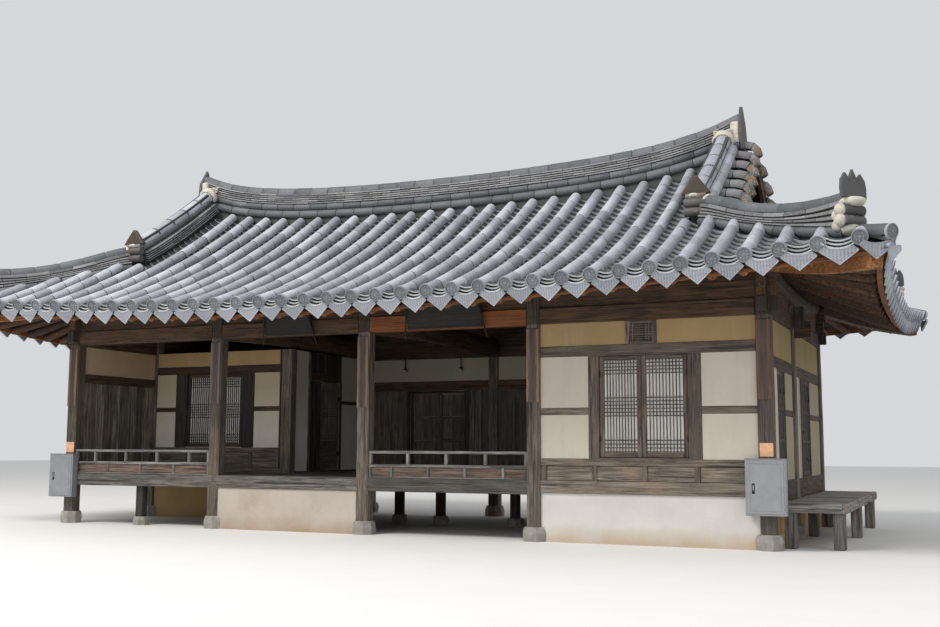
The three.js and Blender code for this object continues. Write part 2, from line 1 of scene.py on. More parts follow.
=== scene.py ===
# Hanok house: clay tiled hip-and-gable roof, timber frame, plastered rooms, open hall and veranda.
# Metres, +Z up, ground at Z = 0, front facing -Y, origin under the middle of the roof.

import bisect
import math
import random
from itertools import product

import bpy
from mathutils import Matrix, Vector


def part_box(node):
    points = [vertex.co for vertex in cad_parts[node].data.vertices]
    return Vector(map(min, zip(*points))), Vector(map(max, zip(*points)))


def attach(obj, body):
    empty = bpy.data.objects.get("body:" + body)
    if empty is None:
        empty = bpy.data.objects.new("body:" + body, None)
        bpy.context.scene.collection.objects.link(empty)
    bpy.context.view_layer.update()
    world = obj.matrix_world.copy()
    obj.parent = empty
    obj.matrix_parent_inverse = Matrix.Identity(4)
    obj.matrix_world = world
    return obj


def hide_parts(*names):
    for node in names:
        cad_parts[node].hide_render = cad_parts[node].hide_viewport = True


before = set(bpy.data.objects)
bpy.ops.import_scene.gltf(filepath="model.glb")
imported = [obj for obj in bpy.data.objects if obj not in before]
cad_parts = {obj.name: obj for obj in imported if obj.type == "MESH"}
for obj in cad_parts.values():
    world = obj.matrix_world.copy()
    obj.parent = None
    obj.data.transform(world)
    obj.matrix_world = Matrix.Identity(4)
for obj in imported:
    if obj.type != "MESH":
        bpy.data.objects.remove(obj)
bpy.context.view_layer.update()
rng = random.Random(11)

# Camera
CAMERA_PLACE = (7.1252, -14.837, 1.1127)
CAMERA_YAW = 24.31
CAMERA_PITCH = 6.88
CAMERA_ROLL = 0.2
CAMERA_LENS = 42.51

# Light and studio: each light's name, place, size, power and colour
SKY_COLOR = (0.93, 0.95, 0.98)
SKY_STRENGTH = 0.72
LIGHTS = (
    ("key_light", (-7, -14, 18), 8, 4300, (1.0, 0.97, 0.93)),
    ("fill_light", (14, -10, 9), 8, 420, (0.96, 0.98, 1.0)),
    ("low_light", (1, -24, 3), 14, 500, (1.0, 0.97, 0.93)),
)
LIGHT_AIM = Vector((0, 0, 2))
STUDIO_REACH = 60

# Plan and levels
COLUMN_X = (-5.0275, -2.4425, -0.0905, 2.2755, 5.0275)
FRONT_Y = -2.155
MIDDLE_Y = -0.405
REAR_Y = 2.155
COLUMN = 0.174
HALF_COLUMN = COLUMN / 2
FRONT_FACE = FRONT_Y - HALF_COLUMN
HALF_WALL = 0.05
FLOOR = 0.72
FLOOR_BEAM = 0.169
SILL_BOTTOM = 0.576
BEAM_BOTTOM = 2.604
LINTEL_TOP = 2.80
HEAD_TOP = LINTEL_TOP + 0.14

# Openings between the columns of a short side: front to middle, and middle to rear
FRONT_SPAN = (FRONT_Y + HALF_COLUMN, MIDDLE_Y - HALF_COLUMN)
REAR_SPAN = (MIDDLE_Y + HALF_COLUMN, REAR_Y - HALF_COLUMN)

# Roof surface, at the axes of the round tile rows
EAVE_X = 6.39
EAVE_Y = 3.572
FLARE = 0.13
EAVE_HEIGHT = 2.88
EAVE_LIFT = 0.28
RIDGE_HEIGHT = 4.685
RIDGE_SAG_2 = 0.0101
RIDGE_SAG_6 = 3.38e-5
RIDGE_SAG_END = 4.5
SLOPE_CURVE = 0.33
SKIRT_RISE = 1.86
VERGE_X = 4.65
GABLE_X = 4.25
DESCENT_X = 4.24
DESCENT_END_Y = 1.85
HIP_START = (4.31, 1.83)
HIP_END = (6.33, 3.54)

# Tiles
ROW_PITCH = 0.3285
CORNER_ROWS_FRONT = (5.441, 5.813, 6.209)
CORNER_ROWS_SIDE = (3.11, 3.43)
ROUND_RADIUS = 0.073
ROUND_LENGTH = 0.315
ROUND_SPREAD = (-32, 212)
ROUND_PROFILE = ((0.0, 0.90), (0.03, 1.0), (0.5, 1.0), (0.94, 0.985), (1.0, 0.86))
PAN_STEP = 0.15
PAN_DEPTH = 0.10
PAN_RISE = 0.085
PAN_THICKNESS = 0.034
DISC_RADIUS = 0.082
DISC_PROFILE = ((1.0, -0.02), (1.0, 0.013), (0.86, 0.015), (0.83, 0.003), (0.22, 0.003), (0.18, 0.012))
DRIP_TIP = 0.245
DRIP_CORNER = 0.105
DRIP_RIBS = 22
DRIP_SHOULDER = 0.72
LEADING_STEPS = ((0.004, -0.002), (0.040, 0.028), (0.078, 0.058))

# Ridges, verges and what crowns their ends
MAIN_RIDGE_END = 4.45
MAIN_END_X = 4.47
COURSE_LENGTH = 0.33
COURSE_JOINT = 0.003
COURSE_STAGGER = 0.16
RIDGE_ROUND_LENGTH = 0.33
CAP_LENGTH = 0.31
SIDE_ROUND_PROFILE = ((0.01, 0.92), (0.03, 1.0), (0.97, 0.99), (0.99, 0.9))
HIP_RIDGE_END = (6.10, 3.345)
HIP_TIP = (6.13, 3.37)
CORNER_ROW = ((6.50, 3.675), (6.18, 3.41))
CORNER_DRIPS = (((6.37, 3.70), (0.30, 0.95)), ((6.53, 3.53), (0.95, 0.30)))
CREST_WIDTH = 0.33
CREST_HEIGHT = 0.30
CREST_BEND = -0.05
CREST_HOLES = ((-0.17, 0.60), (0.0, 0.68), (0.17, 0.60))
BAR_PROFILE = ((0, 0.93), (0.02, 1.0), (0.98, 1.0), (1, 0.93))
END_BAR_RADIUS = 0.058
END_BAR_LEVELS = (0.070, 0.182)
VERGE_COURSES = ((0.150, 0.225), (0.157, 0.258), (0.147, 0.290))
VERGE_ROW_PITCH = 0.272
VERGE_ROWS = 7
VERGE_ROW_BEND = ((0.0, 0.07), (0.12, 0.065), (0.23, 0.05), (0.30, 0.02), (0.345, -0.04), (0.36, -0.12))
VERGE_ELBOW = 0.17
VERGE_SPREAD = (-30, 210)

# Timber under the roof
LINING_DROP = 0.155
RAFTER_DROP = 0.212
RAFTER_RADIUS = 0.054
RAFTER_PITCH = 0.33
RAFTER_SETBACK = 0.19
RAFTER_PIVOT = (4.30, 1.35)
LONG_RAFTERS = range(-13, 14)
SHORT_RAFTERS = range(-3, 4)
LONG_FAN_START = 4.72
SHORT_FAN_START = 1.32
HIP_RAFTER_FOOT = (6.36, 3.56)
EAVE_BOARD_INSET = 0.095
EAVE_BOARD_RUNS = ((6.38, 60, "x"), (3.56, 40, "y"))
EAVE_BOARD_SECTION = ((0.0, -0.10), (0.0, -0.20), (0.055, -0.20), (0.055, -0.10))
PURLIN_RADIUS = 0.115
PURLIN_DROP = RAFTER_DROP + RAFTER_RADIUS + PURLIN_RADIUS

# Timber frame
LINTEL = 0.16
BEAM_END = 0.09
COLUMN_TONES = (1.0, 0.8, 0.3, 0.5, 1.0)
STONE_PROFILE = ((0.0, 1.0), (0.55, 1.02), (0.9, 0.94), (1.0, 0.86))
TIE_BEAM_ENDS = ((0.13, 0.16, (2.62, 2.89)), (0.21, 0.10, (2.50, 2.70)))
HALL_BEAM_LENGTH = 4.14
HALL_BEAM_LEVEL = 2.74
HALL_BEAM_BOW = 0.05
HALL_BEAM_HALF_WIDTH = 0.125
HALL_BEAM_HALF_HEIGHT = 0.15
KING_POSTS = ((0.12, 0.36, (2.86, 3.35)), (0.10, 0.26, (3.35, 4.12)))
RIDGE_PURLIN_REACH = 4.22
RIDGE_PURLIN_DROP = 0.42
RIDGE_PURLIN_RADIUS = 0.12

# Wall timbers: how far they stand proud of the wall's middle
MEMBER_PROUD = 0.062
SILL_PROUD = 0.075
BOARD_PROUD = 0.056
POST_PROUD = MEMBER_PROUD + 0.003
RAIL_PROUD = MEMBER_PROUD - 0.004
FRAME_PROUD = MEMBER_PROUD + 0.004
HEAVY_PROUD = MEMBER_PROUD + 0.006
# Width of the dark strips painted as shadow along the panels' edges
PANEL_SHADOW_LINE = 0.011
DOOR_STOP = (-0.003, 0.025)
BOARD_GAP = 0.0015
# Tones of the veranda end's boards in turn: alternate boards darkened, partly their own tone, partly
# painted shade of the bands between boards
END_BOARD_TONES = (0.8, 0.1, 1.0, 0.0, 0.9, 0.2, 1.0, 0.0, 0.7)

# Heights of wall timbers
SILL_TOP = 0.724
MIDDLE_RAIL = (1.500, 1.588)
HEAD_RAIL = (2.198, 2.328)
SIDE_SILL_TOP = 0.740
SIDE_HEAD_RAIL = (2.022, 2.165)
END_BOARD_HEIGHT = (0.735, 2.05)
HALL_BACK_HEIGHT = (0.758, 2.062)
HALL_SIDE_HEIGHT = (0.74, 2.152)

# Windows and doors: the posts beside them, their leaves, and the stiles of the panels below
PANEL_1_STILES = (-4.90, -4.30, -3.70, -3.10, -2.57)
WINDOW_1_POSTS = ((-4.5585, -4.34), (-3.27, -3.0455))
WINDOW_1_LEAVES = ((-4.336, -3.807), (-3.803, -3.274))
WINDOW_1_HEIGHT = (1.106, 2.253)
PANEL_2_STILES = (2.405, 3.032, 3.643, 4.255, 4.90)
WINDOW_2_POSTS = ((2.9685, 3.0995), (4.1605, 4.3185))
WINDOW_2_LEAVES = ((3.104, 3.609), (3.613, 4.156))
WINDOW_2_HEIGHT = (1.002, 2.194)
VENT = (3.4275, 3.8085)
SIDE_DOORS = ((-1.808, -1.208), (0.26, 0.96))
BACK_DOOR = (-1.70, -0.535)

# Lattice leaves
LATTICE_FRAME = 0.055
LATTICE_BAR = 0.0105
LATTICE_COLUMNS = 10
LATTICE_MIDDLE = tuple(0.416 + 0.0354 * i for i in range(6))
LATTICE_ROWS = (0.074, 0.11, 0.142, 0.177, *LATTICE_MIDDLE, 0.832, 0.869, 0.906, 0.942)
DOOR_ROWS = (0.06, 0.10, 0.14, 0.42, 0.46, 0.50, 0.54, 0.86, 0.90)
LEAF_DEPTH = (-0.02, 0.04)
LEAF_BACKING = (-0.024, -0.022)

# Doors
HINGE_PLACES = (0.18, 0.82)
HINGE_PIN = 0.0078
KNUCKLE = 0.0085
KNUCKLE_PROUD = 0.0163
PIN_DEPTH = 0.008
PIN_REACH = 0.035
LEAF_STILE = 0.052
LEAF_THICKNESS = 0.04
STRAP_LENGTH = 0.16
RING_RADIUS = 0.024
RING_WIRE = 0.0032

# Floors, railings and bench
BOARD_THICKNESS = 0.05
EDGE_BEAM = 0.16
JOIST = 0.13
JOIST_PITCH = 0.62
FLOOR_POST = 0.12
VERANDA_POST = -3.78
HALL_POSTS = (-1.45, -0.715, -0.035, 1.14)
RAIL_LINE = FRONT_FACE + 0.05
RAIL_QUARTERS = (0.25, 0.50, 0.75)
RAIL_OFFSETS = (0.146, 0.385, 0.622, 0.860)
BENCH_EDGE = 0.055
BENCH_LEG = 0.13

# Boards and boxes on the front
COUPLET_BOTTOMS = (1.70, 1.70, 1.62, 1.66, 1.65)
COUPLET_TOP = 2.55
ORANGE_EDGE = (0.34, 0.205, 0.125)
GREY_EDGE = (0.21, 0.165, 0.135)
RED_EDGE = (0.19, 0.088, 0.050)
COUPLET_EDGES = (ORANGE_EDGE, GREY_EDGE, ORANGE_EDGE, ORANGE_EDGE, RED_EDGE)
PAINT_REACH = (0.064, 0.064, 0.060, 0.064, 0.046)
SIGN_TILT = 0.32
SIGN_FRAME = 0.022
HOOK_PLACES = (-1.72, -0.67)
HOOK_FOOT = 2.44

# Gables
GABLE_PITCH = 0.21
GABLE_BATTEN = 0.05
GABLE_BOARDS = range(-8, 8)

# Colours that several finishes share, and how light timber fades
LICHEN = (0.52, 0.52, 0.47)
RUST_STAIN = (0.21, 0.13, 0.075)
LIME_RUN = (0.62, 0.56, 0.45)
FOOT_STAIN = (0.40, 0.29, 0.16)
DARK_SPECK = (0.25, 0.22, 0.17)
OLD_PAINT = ((0.038, 0.031, 0.029), (0.108, 0.086, 0.075))
FADING = (1.08, 0.94, 0.78)
OLD_WOOD = ((0.080, 0.062, 0.048), (0.29, 0.243, 0.198))
DARK_WOOD = ((0.036, 0.019, 0.010), (0.160, 0.092, 0.048))
SASH_WOOD = ((0.052, 0.039, 0.032), (0.235, 0.184, 0.152))

# Height where painted shade begins to darken the plaster towards the top, and its growth per metre
TOP_SHADE_FROM = 1.3
TOP_SHADE_GROWTH = 1.4

# Material slots of the timber pieces; grey boards along X, then along Y, come last
OLD_X_SLOT, OLD_Y_SLOT, OLD_Z_SLOT, DARK_X_SLOT, DARK_Y_SLOT, DARK_Z_SLOT = range(6)
PAPER_SLOT, IRON_SLOT, NEW_SLOT, STONE_SLOT, GREY_SLOT, GREY_Y_SLOT = range(6, 12)


def eave_y(x):
    return EAVE_Y + FLARE * (x / EAVE_X) ** 4


def eave_x(y):
    return EAVE_X + FLARE * (y / EAVE_Y) ** 4


def slope(t):
    return t * (1 - SLOPE_CURVE) + t * t * SLOPE_CURVE


def ridge_height(x):
    run = min(abs(x), RIDGE_SAG_END)
    return RIDGE_HEIGHT + RIDGE_SAG_2 * run**2 + RIDGE_SAG_6 * run**6


def main_slope(x, y):
    eave = EAVE_HEIGHT + EAVE_LIFT * (x / EAVE_X) ** 2
    return eave + (ridge_height(x) - eave) * slope(1 - abs(y) / eave_y(x))


def side_slope(x, y):
    eave = EAVE_HEIGHT + EAVE_LIFT * (y / EAVE_Y) ** 2
    t = (eave_x(y) - abs(x)) / EAVE_Y
    return eave + SKIRT_RISE * (slope(t) if t > 0 else t)


def hipped(x, y):
    return min(main_slope(x, y), side_slope(x, y))


def hip_y(x):
    share = (abs(x) - HIP_START[0]) / (HIP_END[0] - HIP_START[0])
    return HIP_START[1] + (HIP_END[1] - HIP_START[1]) * share


def hip_x(y):
    share = (abs(y) - HIP_START[1]) / (HIP_END[1] - HIP_START[1])
    return HIP_START[0] + (HIP_END[0] - HIP_START[0]) * share


# Numbers and spans


def jitter(reach):
    return rng.uniform(-reach, reach)


def around(centre, width):
    return (centre - width / 2, centre + width / 2)


def ordered(a, b):
    return (min(a, b), max(a, b))


def shrunk(span, by):
    return (span[0] + by, span[1] - by)


def both_ends(span, width):
    return ((span[0], span[0] + width), (span[1] - width, span[1]))


def outside(span, posts):
    """What is left of a span before the first post and after the last."""
    return ((span[0], posts[0][0]), (posts[-1][1], span[1]))


def between(span, share):
    return span[0] + (span[1] - span[0]) * share


def bay(i):
    """The opening between two neighbouring columns of the front or the rear."""
    return (COLUMN_X[i] + HALF_COLUMN, COLUMN_X[i + 1] - HALF_COLUMN)


def evenly(start, end, steps):
    return [start + (end - start) * i / steps for i in range(steps + 1)]


def value_at(level, s):
    """A level that is either fixed or changes along a path."""
    return level(s) if callable(level) else level


def arc(start, end, steps):
    """Cosine and sine pairs between two angles in degrees."""
    return [(math.cos(math.radians(a)), math.sin(math.radians(a))) for a in evenly(start, end, steps)]


def circle(steps):
    return arc(0, 360, steps)[:-1]


# Mesh building


def place_object(name, data):
    made = bpy.data.objects.new(name, data)
    bpy.context.scene.collection.objects.link(made)
    return made


class Spot:
    """A place on a path: its point, and the directions along, to the side and up."""

    def __init__(self, point, along, side, up):
        self.point, self.along, self.side, self.up = point, along, side, up

    def to(self, across, up, forward=0.0):
        return self.point + self.side * across + self.up * up + self.along * forward

    def ring(self, radius, turn, across=0.0, up=0.0, forward=0.0):
        return [self.to(radius * c + across, radius * s + up, forward) for c, s in turn]


class Path:
    """A line through points that gives a Spot at any length along it."""

    def __init__(self, points, side=None):
        self.points = [Vector(p) for p in points]
        self.side = side
        self.reach = [0.0]
        for a, b in zip(self.points, self.points[1:]):
            self.reach.append(self.reach[-1] + (b - a).length)
        self.length = self.reach[-1]

    def at(self, s):
        i = min(max(bisect.bisect_right(self.reach, s) - 1, 0), len(self.points) - 2)
        a, b = self.points[i], self.points[i + 1]
        step = self.reach[i + 1] - self.reach[i]
        point = a + (b - a) * ((s - self.reach[i]) / step)
        before = self.points[max(i - 1, 0)]
        after = self.points[min(i + 2, len(self.points) - 1)]
        along = (after - before).normalized()
        side = Vector(self.side) if self.side else along.cross(Vector((0, 0, 1))).normalized()
        return Spot(point, along, side, side.cross(along).normalized())

    def raised(self, lift):
        return Path([p + Vector((0, 0, lift)) for p in self.points], self.side)


def path_over(height, start, end, steps=24, lift=0.0, side=None):
    """A path in plan from start to end, lying on a roof surface."""
    plan = zip(evenly(start[0], end[0], steps), evenly(start[1], end[1], steps))
    return Path([(x, y, height(x, y) + lift) for x, y in plan], side)


class Piece:
    """The faces of one object, collected before they become a mesh."""

    def __init__(self, name, *materials):
        self.name = name
        self.materials = materials
        self.points, self.faces, self.tones, self.smooth, self.slots = [], [], [], [], []

    def add(self, points, faces, tone=None, smooth=False, slot=0):
        base = len(self.points)
        self.points.extend(points)
        self.faces.extend([[base + i for i in face] for face in faces])
        tone = rng.random() if tone is None else tone
        self.tones.extend([tone] * len(faces))
        self.smooth.extend([smooth] * len(faces))
        self.slots.extend([slot] * len(faces))

    def sheet(self, rows, tone=None, smooth=True, slot=0, closed=False):
        width = len(rows[0])
        points = [p for row in rows for p in row]
        faces = []
        for a in range(0, width * (len(rows) - 1), width):
            for j in range(width if closed else width - 1):
                k = (j + 1) % width
                faces.append((a + j, a + k, a + width + k, a + width + j))
        self.add(points, faces, tone, smooth, slot)

    def lid(self, ring, tone=None, slot=0):
        self.add(ring, [range(len(ring))], tone, False, slot)

    def tube(self, rings, tone=None, smooth=True, slot=0):
        tone = rng.random() if tone is None else tone
        self.sheet(rings, tone, smooth, slot, closed=True)
        self.lid(rings[0], tone, slot)
        self.lid(rings[-1], tone, slot)

    def beam(self, x, y, z, bevel=0.006, tone=None, slot=0, turn=None):
        """A box with chamfered edges between two values on each axis."""
        spans = (x, y, z)
        cut = min([bevel] + [(b - a) * 0.45 for a, b in spans])
        corners = list(product((0, 1), repeat=3))
        points, index, faces = [], {}, []
        for corner in corners:
            for axis in range(3):
                inward = [cut * (1 - 2 * side) * (k != axis) for k, side in enumerate(corner)]
                place = Vector([spans[k][side] + inward[k] for k, side in enumerate(corner)])
                index[(*corner, axis)] = len(points)
                points.append(turn @ place if turn else place)
        for axis in range(3):
            u, v = (axis + 1) % 3, (axis + 2) % 3

            def at(level, su, sv, near):
                key = [level] * 3
                key[u], key[v] = su, sv
                return index[(*key, near)]

            for side in (0, 1):
                faces.append([at(side, su, sv, axis) for su, sv in ((0, 0), (1, 0), (1, 1), (0, 1))])
            for su, sv in product((0, 1), repeat=2):
                faces.append([at(end, su, sv, near) for end, near in ((0, u), (0, v), (1, v), (1, u))])
        faces.extend([index[(*corner, k)] for k in range(3)] for corner in corners)
        self.add(points, faces, tone, False, slot)

    def make(self, body="house", slot=None, replaces=()):
        mesh = bpy.data.meshes.new(self.name)
        mesh.from_pydata([tuple(p) for p in self.points], [], self.faces)
        mesh.polygons.foreach_set("use_smooth", self.smooth)
        mesh.polygons.foreach_set("material_index", self.slots)
        tones = mesh.attributes.new("tone", "FLOAT", "FACE")
        tones.data.foreach_set("value", self.tones)
        for material in self.materials:
            mesh.materials.append(material)
        mesh.update()
        piece = place_object(self.name, mesh)
        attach(piece, body)
        if replaces:
            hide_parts(*replaces)
        return piece


# Materials


def shade(color, factor):
    return tuple(c * factor for c in color)


class Graph:
    """Short names for the shader nodes of one material."""

    def __init__(self, name):
        self.material = bpy.data.materials.new(name)
        self.material.use_nodes = True
        self.tree = self.material.node_tree
        self.shader = self.tree.nodes["Principled BSDF"]

    def feed(self, socket, value):
        if isinstance(value, bpy.types.NodeSocket):
            self.tree.links.new(value, socket)
        elif socket.type == "RGBA":
            socket.default_value = (*value, 1)
        else:
            socket.default_value = value

    def node(self, kind, inputs=None, **settings):
        made = self.tree.nodes.new(kind)
        for key, value in settings.items():
            setattr(made, key, value)
        for key, value in (inputs or {}).items():
            self.feed(made.inputs[key], value)
        return made

    def place(self):
        return self.node("ShaderNodeTexCoord").outputs["Object"]

    def axis(self, name):
        return self.node("ShaderNodeSeparateXYZ", {"Vector": self.place()}).outputs[name]

    def noise(self, scale, detail=4, stretch=(1, 1, 1), rough=0.55, bend=0.0):
        mapping = self.node("ShaderNodeMapping", {"Vector": self.place(), "Scale": stretch})
        inputs = {"Vector": mapping.outputs[0], "Scale": scale, "Detail": detail}
        inputs.update({"Roughness": rough, "Distortion": bend})
        return self.node("ShaderNodeTexNoise", inputs).outputs["Fac"]

    def ramp(self, value, *stops):
        made = self.node("ShaderNodeValToRGB", {"Fac": value})
        for element, (position, color) in zip(made.color_ramp.elements, stops):
            element.position = position
            element.color = (*color, 1) if isinstance(color, tuple) else (color, color, color, 1)
        return made.outputs["Color"]

    def mix(self, share, a, b, mode="MIX"):
        made = self.node("ShaderNodeMix", data_type="RGBA", blend_type=mode)
        for index, value in ((0, share), (6, a), (7, b)):
            self.feed(made.inputs[index], value)
        return made.outputs[2]

    def over(self, base, color, value, *stops):
        """A colour laid over the base where a value is high on its ramp."""
        return self.mix(self.ramp(value, *stops), base, color)

    def math(self, operation, a, b=0.0, clamp=False):
        made = self.node("ShaderNodeMath", operation=operation, use_clamp=clamp)
        self.feed(made.inputs[0], a)
        self.feed(made.inputs[1], b)
        return made.outputs[0]

    def tone(self):
        return self.node("ShaderNodeAttribute", attribute_name="tone").outputs["Fac"]

    def ragged(self, value, noise, share):
        return self.math("ADD", value, self.math("MULTIPLY", noise, share))

    def finish(self, color, roughness, bump, strength, distance):
        self.feed(self.shader.inputs["Base Color"], color)
        self.feed(self.shader.inputs["Roughness"], roughness)
        inputs = {"Height": bump, "Strength": strength, "Distance": distance}
        self.feed(self.shader.inputs["Normal"], self.node("ShaderNodeBump", inputs).outputs["Normal"])
        return self.material


def tile_clay(name, dark, light, lichen):
    """Smoke-fired clay: each tile its own shade, soot and lichen on it."""
    g = Graph(name)
    base = g.ramp(g.tone(), (0.0, dark), (1.0, light))
    base = g.over(base, shade(dark, 0.62), g.noise(2.2, 5), (0.35, 0.0), (0.7, 0.45))
    grain = g.noise(55, 3)
    base = g.mix(0.35, base, g.ramp(grain, (0.3, shade(dark, 0.7)), (0.75, light)))
    base = g.over(base, LICHEN, g.noise(19, 6, rough=0.7), (0.62, 0.0), (0.72, lichen))
    return g.finish(base, g.ramp(grain, (0.2, 0.52), (0.8, 0.78)), grain, 0.25, 0.004)


def stained_clay():
    """Old clay with rust-brown stains and lime runs."""
    g = Graph("stained_clay")
    base = g.ramp(g.noise(7, 5, rough=0.65), (0.38, (0.07, 0.062, 0.06)), (0.62, (0.22, 0.20, 0.19)))
    base = g.over(base, RUST_STAIN, g.noise(5.3, 4, rough=0.7), (0.48, 0.0), (0.60, 0.8))
    base = g.over(base, LIME_RUN, g.noise(8.1, 5, (9, 9, 4), rough=0.7), (0.55, 0.0), (0.64, 0.8))
    return g.finish(base, 0.8, g.noise(50, 3), 0.3, 0.005)


def wood(name, along, dark, light, streak=0.75):
    """Weathered timber whose grain runs along one axis, with drying cracks."""
    g = Graph(name)
    fine, broad, crack = (
        tuple(lengthwise if k == along else across for k in range(3))
        for lengthwise, across in ((3.0, 75.0), (1.8, 32.0), (0.8, 34.0))
    )
    grain = g.noise(1.0, 5, fine, 0.65, 0.4)
    figure = g.noise(1.0, 5, broad, 0.65, 1.0)
    base = g.over(dark, light, figure, (0.37, 0.0), (0.63, 1.0))
    faded = tuple(min(c * f, 1.0) for c, f in zip(light, FADING))
    base = g.over(base, faded, g.noise(3.4, 4, rough=0.6), (0.50, 0.0), (0.68, 0.45))
    base = g.over(base, shade(dark, 0.6), g.tone(), (0.0, 0.0), (1.0, 0.6))
    deep = shade(dark, 0.35)
    base = g.mix(g.math("MULTIPLY", g.ramp(grain, (0.34, 1.0), (0.50, 0.0)), streak), base, deep)
    cracks = g.ramp(g.noise(1.0, 3, crack, 0.5, 0.3), (0.35, 1.0), (0.40, 0.0))
    base = g.mix(g.math("MULTIPLY", cracks, 0.85), base, deep)
    relief = g.math("SUBTRACT", grain, g.math("MULTIPLY", cracks, 0.8))
    return g.finish(base, g.ramp(grain, (0.2, 0.9), (0.8, 0.68)), relief, 0.5, 0.006)


def lime(name, low, high=None, band=2.19, stain=None, top_shade=None):
    """Trowelled lime plaster, ochre above the lintels and darkened towards the top as painted shade
    where asked.
    """
    g = Graph(name)
    cloud = g.noise(1.6, 6, rough=0.65)
    base = g.over(shade(low, 0.86), low, cloud, (0.3, 0.0), (0.75, 1.0))
    # Painted shade: darker and yellower towards the top, as under the roof
    if top_shade:
        above = g.math("SUBTRACT", g.axis("Z"), TOP_SHADE_FROM)
        base = g.mix(g.math("MULTIPLY", above, TOP_SHADE_GROWTH, clamp=True), base, top_shade)
    if high:
        upper = g.over(shade(high, 0.8), high, cloud, (0.3, 0.0), (0.7, 1.0))
        base = g.mix(g.math("GREATER_THAN", g.axis("Z"), band), base, upper)
    if stain:
        edge = g.ragged(g.axis("Z"), g.noise(3.0, 5), 0.30)
        base = g.over(base, stain, edge, (0.14, 0.75), (0.36, 0.0))
        base = g.over(base, stain, g.noise(1.3, 5, rough=0.7), (0.50, 0.0), (0.68, 0.42))
    streaks = g.noise(1.0, 5, (7, 7, 0.8), 0.6)
    base = g.over(base, shade(low, 0.72), streaks, (0.56, 0.0), (0.8, 0.35))
    return specked(g, base, cloud, 0.35)


def specked(g, base, cloud, share):
    """The last coat of a plaster: dark specks and the trowel's relief."""
    specks = g.noise(40, 4)
    base = g.over(base, DARK_SPECK, specks, (0.66, 0.0), (0.74, share))
    return g.finish(base, 0.92, g.ragged(cloud, specks, 0.25), 0.25, 0.012)


def two_faced_base(name, front, side, past_x):
    """Lime-washed front with stained foot, bare clay beyond a value of X."""
    g = Graph(name)
    across = g.axis("X")
    cloud = g.noise(1.6, 6, rough=0.65)
    worn = g.ramp(cloud, (0.3, 0.84), (0.75, 1.0))
    base = g.mix(g.math("GREATER_THAN", across, past_x), front, side)
    base = g.mix(1.0, base, worn, "MULTIPLY")
    edge = g.ragged(g.axis("Z"), g.noise(3.0, 5), 0.30)
    base = g.over(base, FOOT_STAIN, edge, (0.14, 0.7), (0.36, 0.0))
    return specked(g, base, cloud, 0.3)


def worn_board(name, centre, edge, reach):
    """Faded dark paint, worn to bare wood along the upright edges."""
    g = Graph(name)
    off = g.math("ABSOLUTE", g.math("SUBTRACT", g.axis("X"), centre))
    ragged = g.ragged(off, g.noise(1.0, 5, (26, 26, 5), 0.7), 0.06)
    grain = g.noise(1.0, 4, (60, 60, 2.5), 0.6)
    paint = g.over(OLD_PAINT[0], OLD_PAINT[1], grain, (0.3, 0.0), (0.7, 1.0))
    bare = g.over(shade(edge, 0.45), edge, grain, (0.3, 0.0), (0.7, 1.0))
    base = g.over(paint, bare, ragged, (reach, 0.0), (0.092, 1.0))
    return g.finish(base, 0.75, grain, 0.4, 0.004)


def plain_finish(name, color, roughness, metallic=0.0, mottle=0.25, scale=30):
    g = Graph(name)
    spots = g.noise(scale, 4)
    base = g.over(shade(color, 1 - mottle), color, spots, (0.35, 0.0), (0.75, 1.0))
    g.shader.inputs["Metallic"].default_value = metallic
    return g.finish(base, roughness, spots, 0.12, 0.003)


CLAY = tile_clay("roof_clay", (0.21, 0.22, 0.25), (0.56, 0.57, 0.62), 0.45)
JOINT_CLAY = tile_clay("joint_clay", (0.04, 0.042, 0.05), (0.10, 0.105, 0.12), 0.1)
# Pan tiles' tops: painted shade, near black as under the lips
SHADED_PAN_CLAY = tile_clay("shaded_pan_clay", (0.026, 0.028, 0.033), (0.070, 0.073, 0.083), 0.2)
# Pan tiles' front edges: painted highlight
LIT_EDGE_CLAY = tile_clay("lit_pan_edge_clay", (0.48, 0.49, 0.51), (0.82, 0.83, 0.85), 0.3)
# Crescent edges of the pans stacked over the drip tiles: painted highlight
LIT_LEADING_CLAY = tile_clay("lit_leading_edge_clay", (0.46, 0.47, 0.49), (0.78, 0.79, 0.81), 0.25)
DISC_CLAY = tile_clay("disc_clay", (0.15, 0.158, 0.18), (0.27, 0.28, 0.31), 0.2)
RIDGE_CLAY = tile_clay("ridge_clay", (0.062, 0.065, 0.074), (0.165, 0.170, 0.183), 0.5)
COURSE_CLAY = tile_clay("course_clay", (0.070, 0.071, 0.077), (0.35, 0.35, 0.35), 0.6)
VERGE_CLAY = tile_clay("verge_clay", (0.12, 0.115, 0.12), (0.27, 0.265, 0.27), 0.5)
STAINED_CLAY = stained_clay()
DRIP_CLAY = tile_clay("drip_clay", (0.27, 0.285, 0.32), (0.44, 0.46, 0.51), 0.18)
DARK_CLAY = tile_clay("dark_clay", (0.042, 0.040, 0.040), (0.115, 0.113, 0.112), 0.5)
BROWN_CLAY = tile_clay("brown_clay", (0.026, 0.017, 0.010), (0.070, 0.046, 0.026), 0.1)
CORE_CLAY = tile_clay("core_clay", (0.03, 0.03, 0.032), (0.06, 0.06, 0.062), 0.1)
MORTAR = plain_finish("lime_mortar", (0.66, 0.62, 0.54), 0.9, mottle=0.4, scale=14)
OLD_X = wood("old_timber_x", 0, *OLD_WOOD, 0.6)
OLD_Y = wood("old_timber_y", 1, *OLD_WOOD, 0.6)
OLD_Z = wood("old_timber_z", 2, (0.070, 0.055, 0.044), (0.255, 0.212, 0.172))
END_Z = wood("end_boards_z", 2, (0.085, 0.070, 0.058), (0.40, 0.345, 0.29))
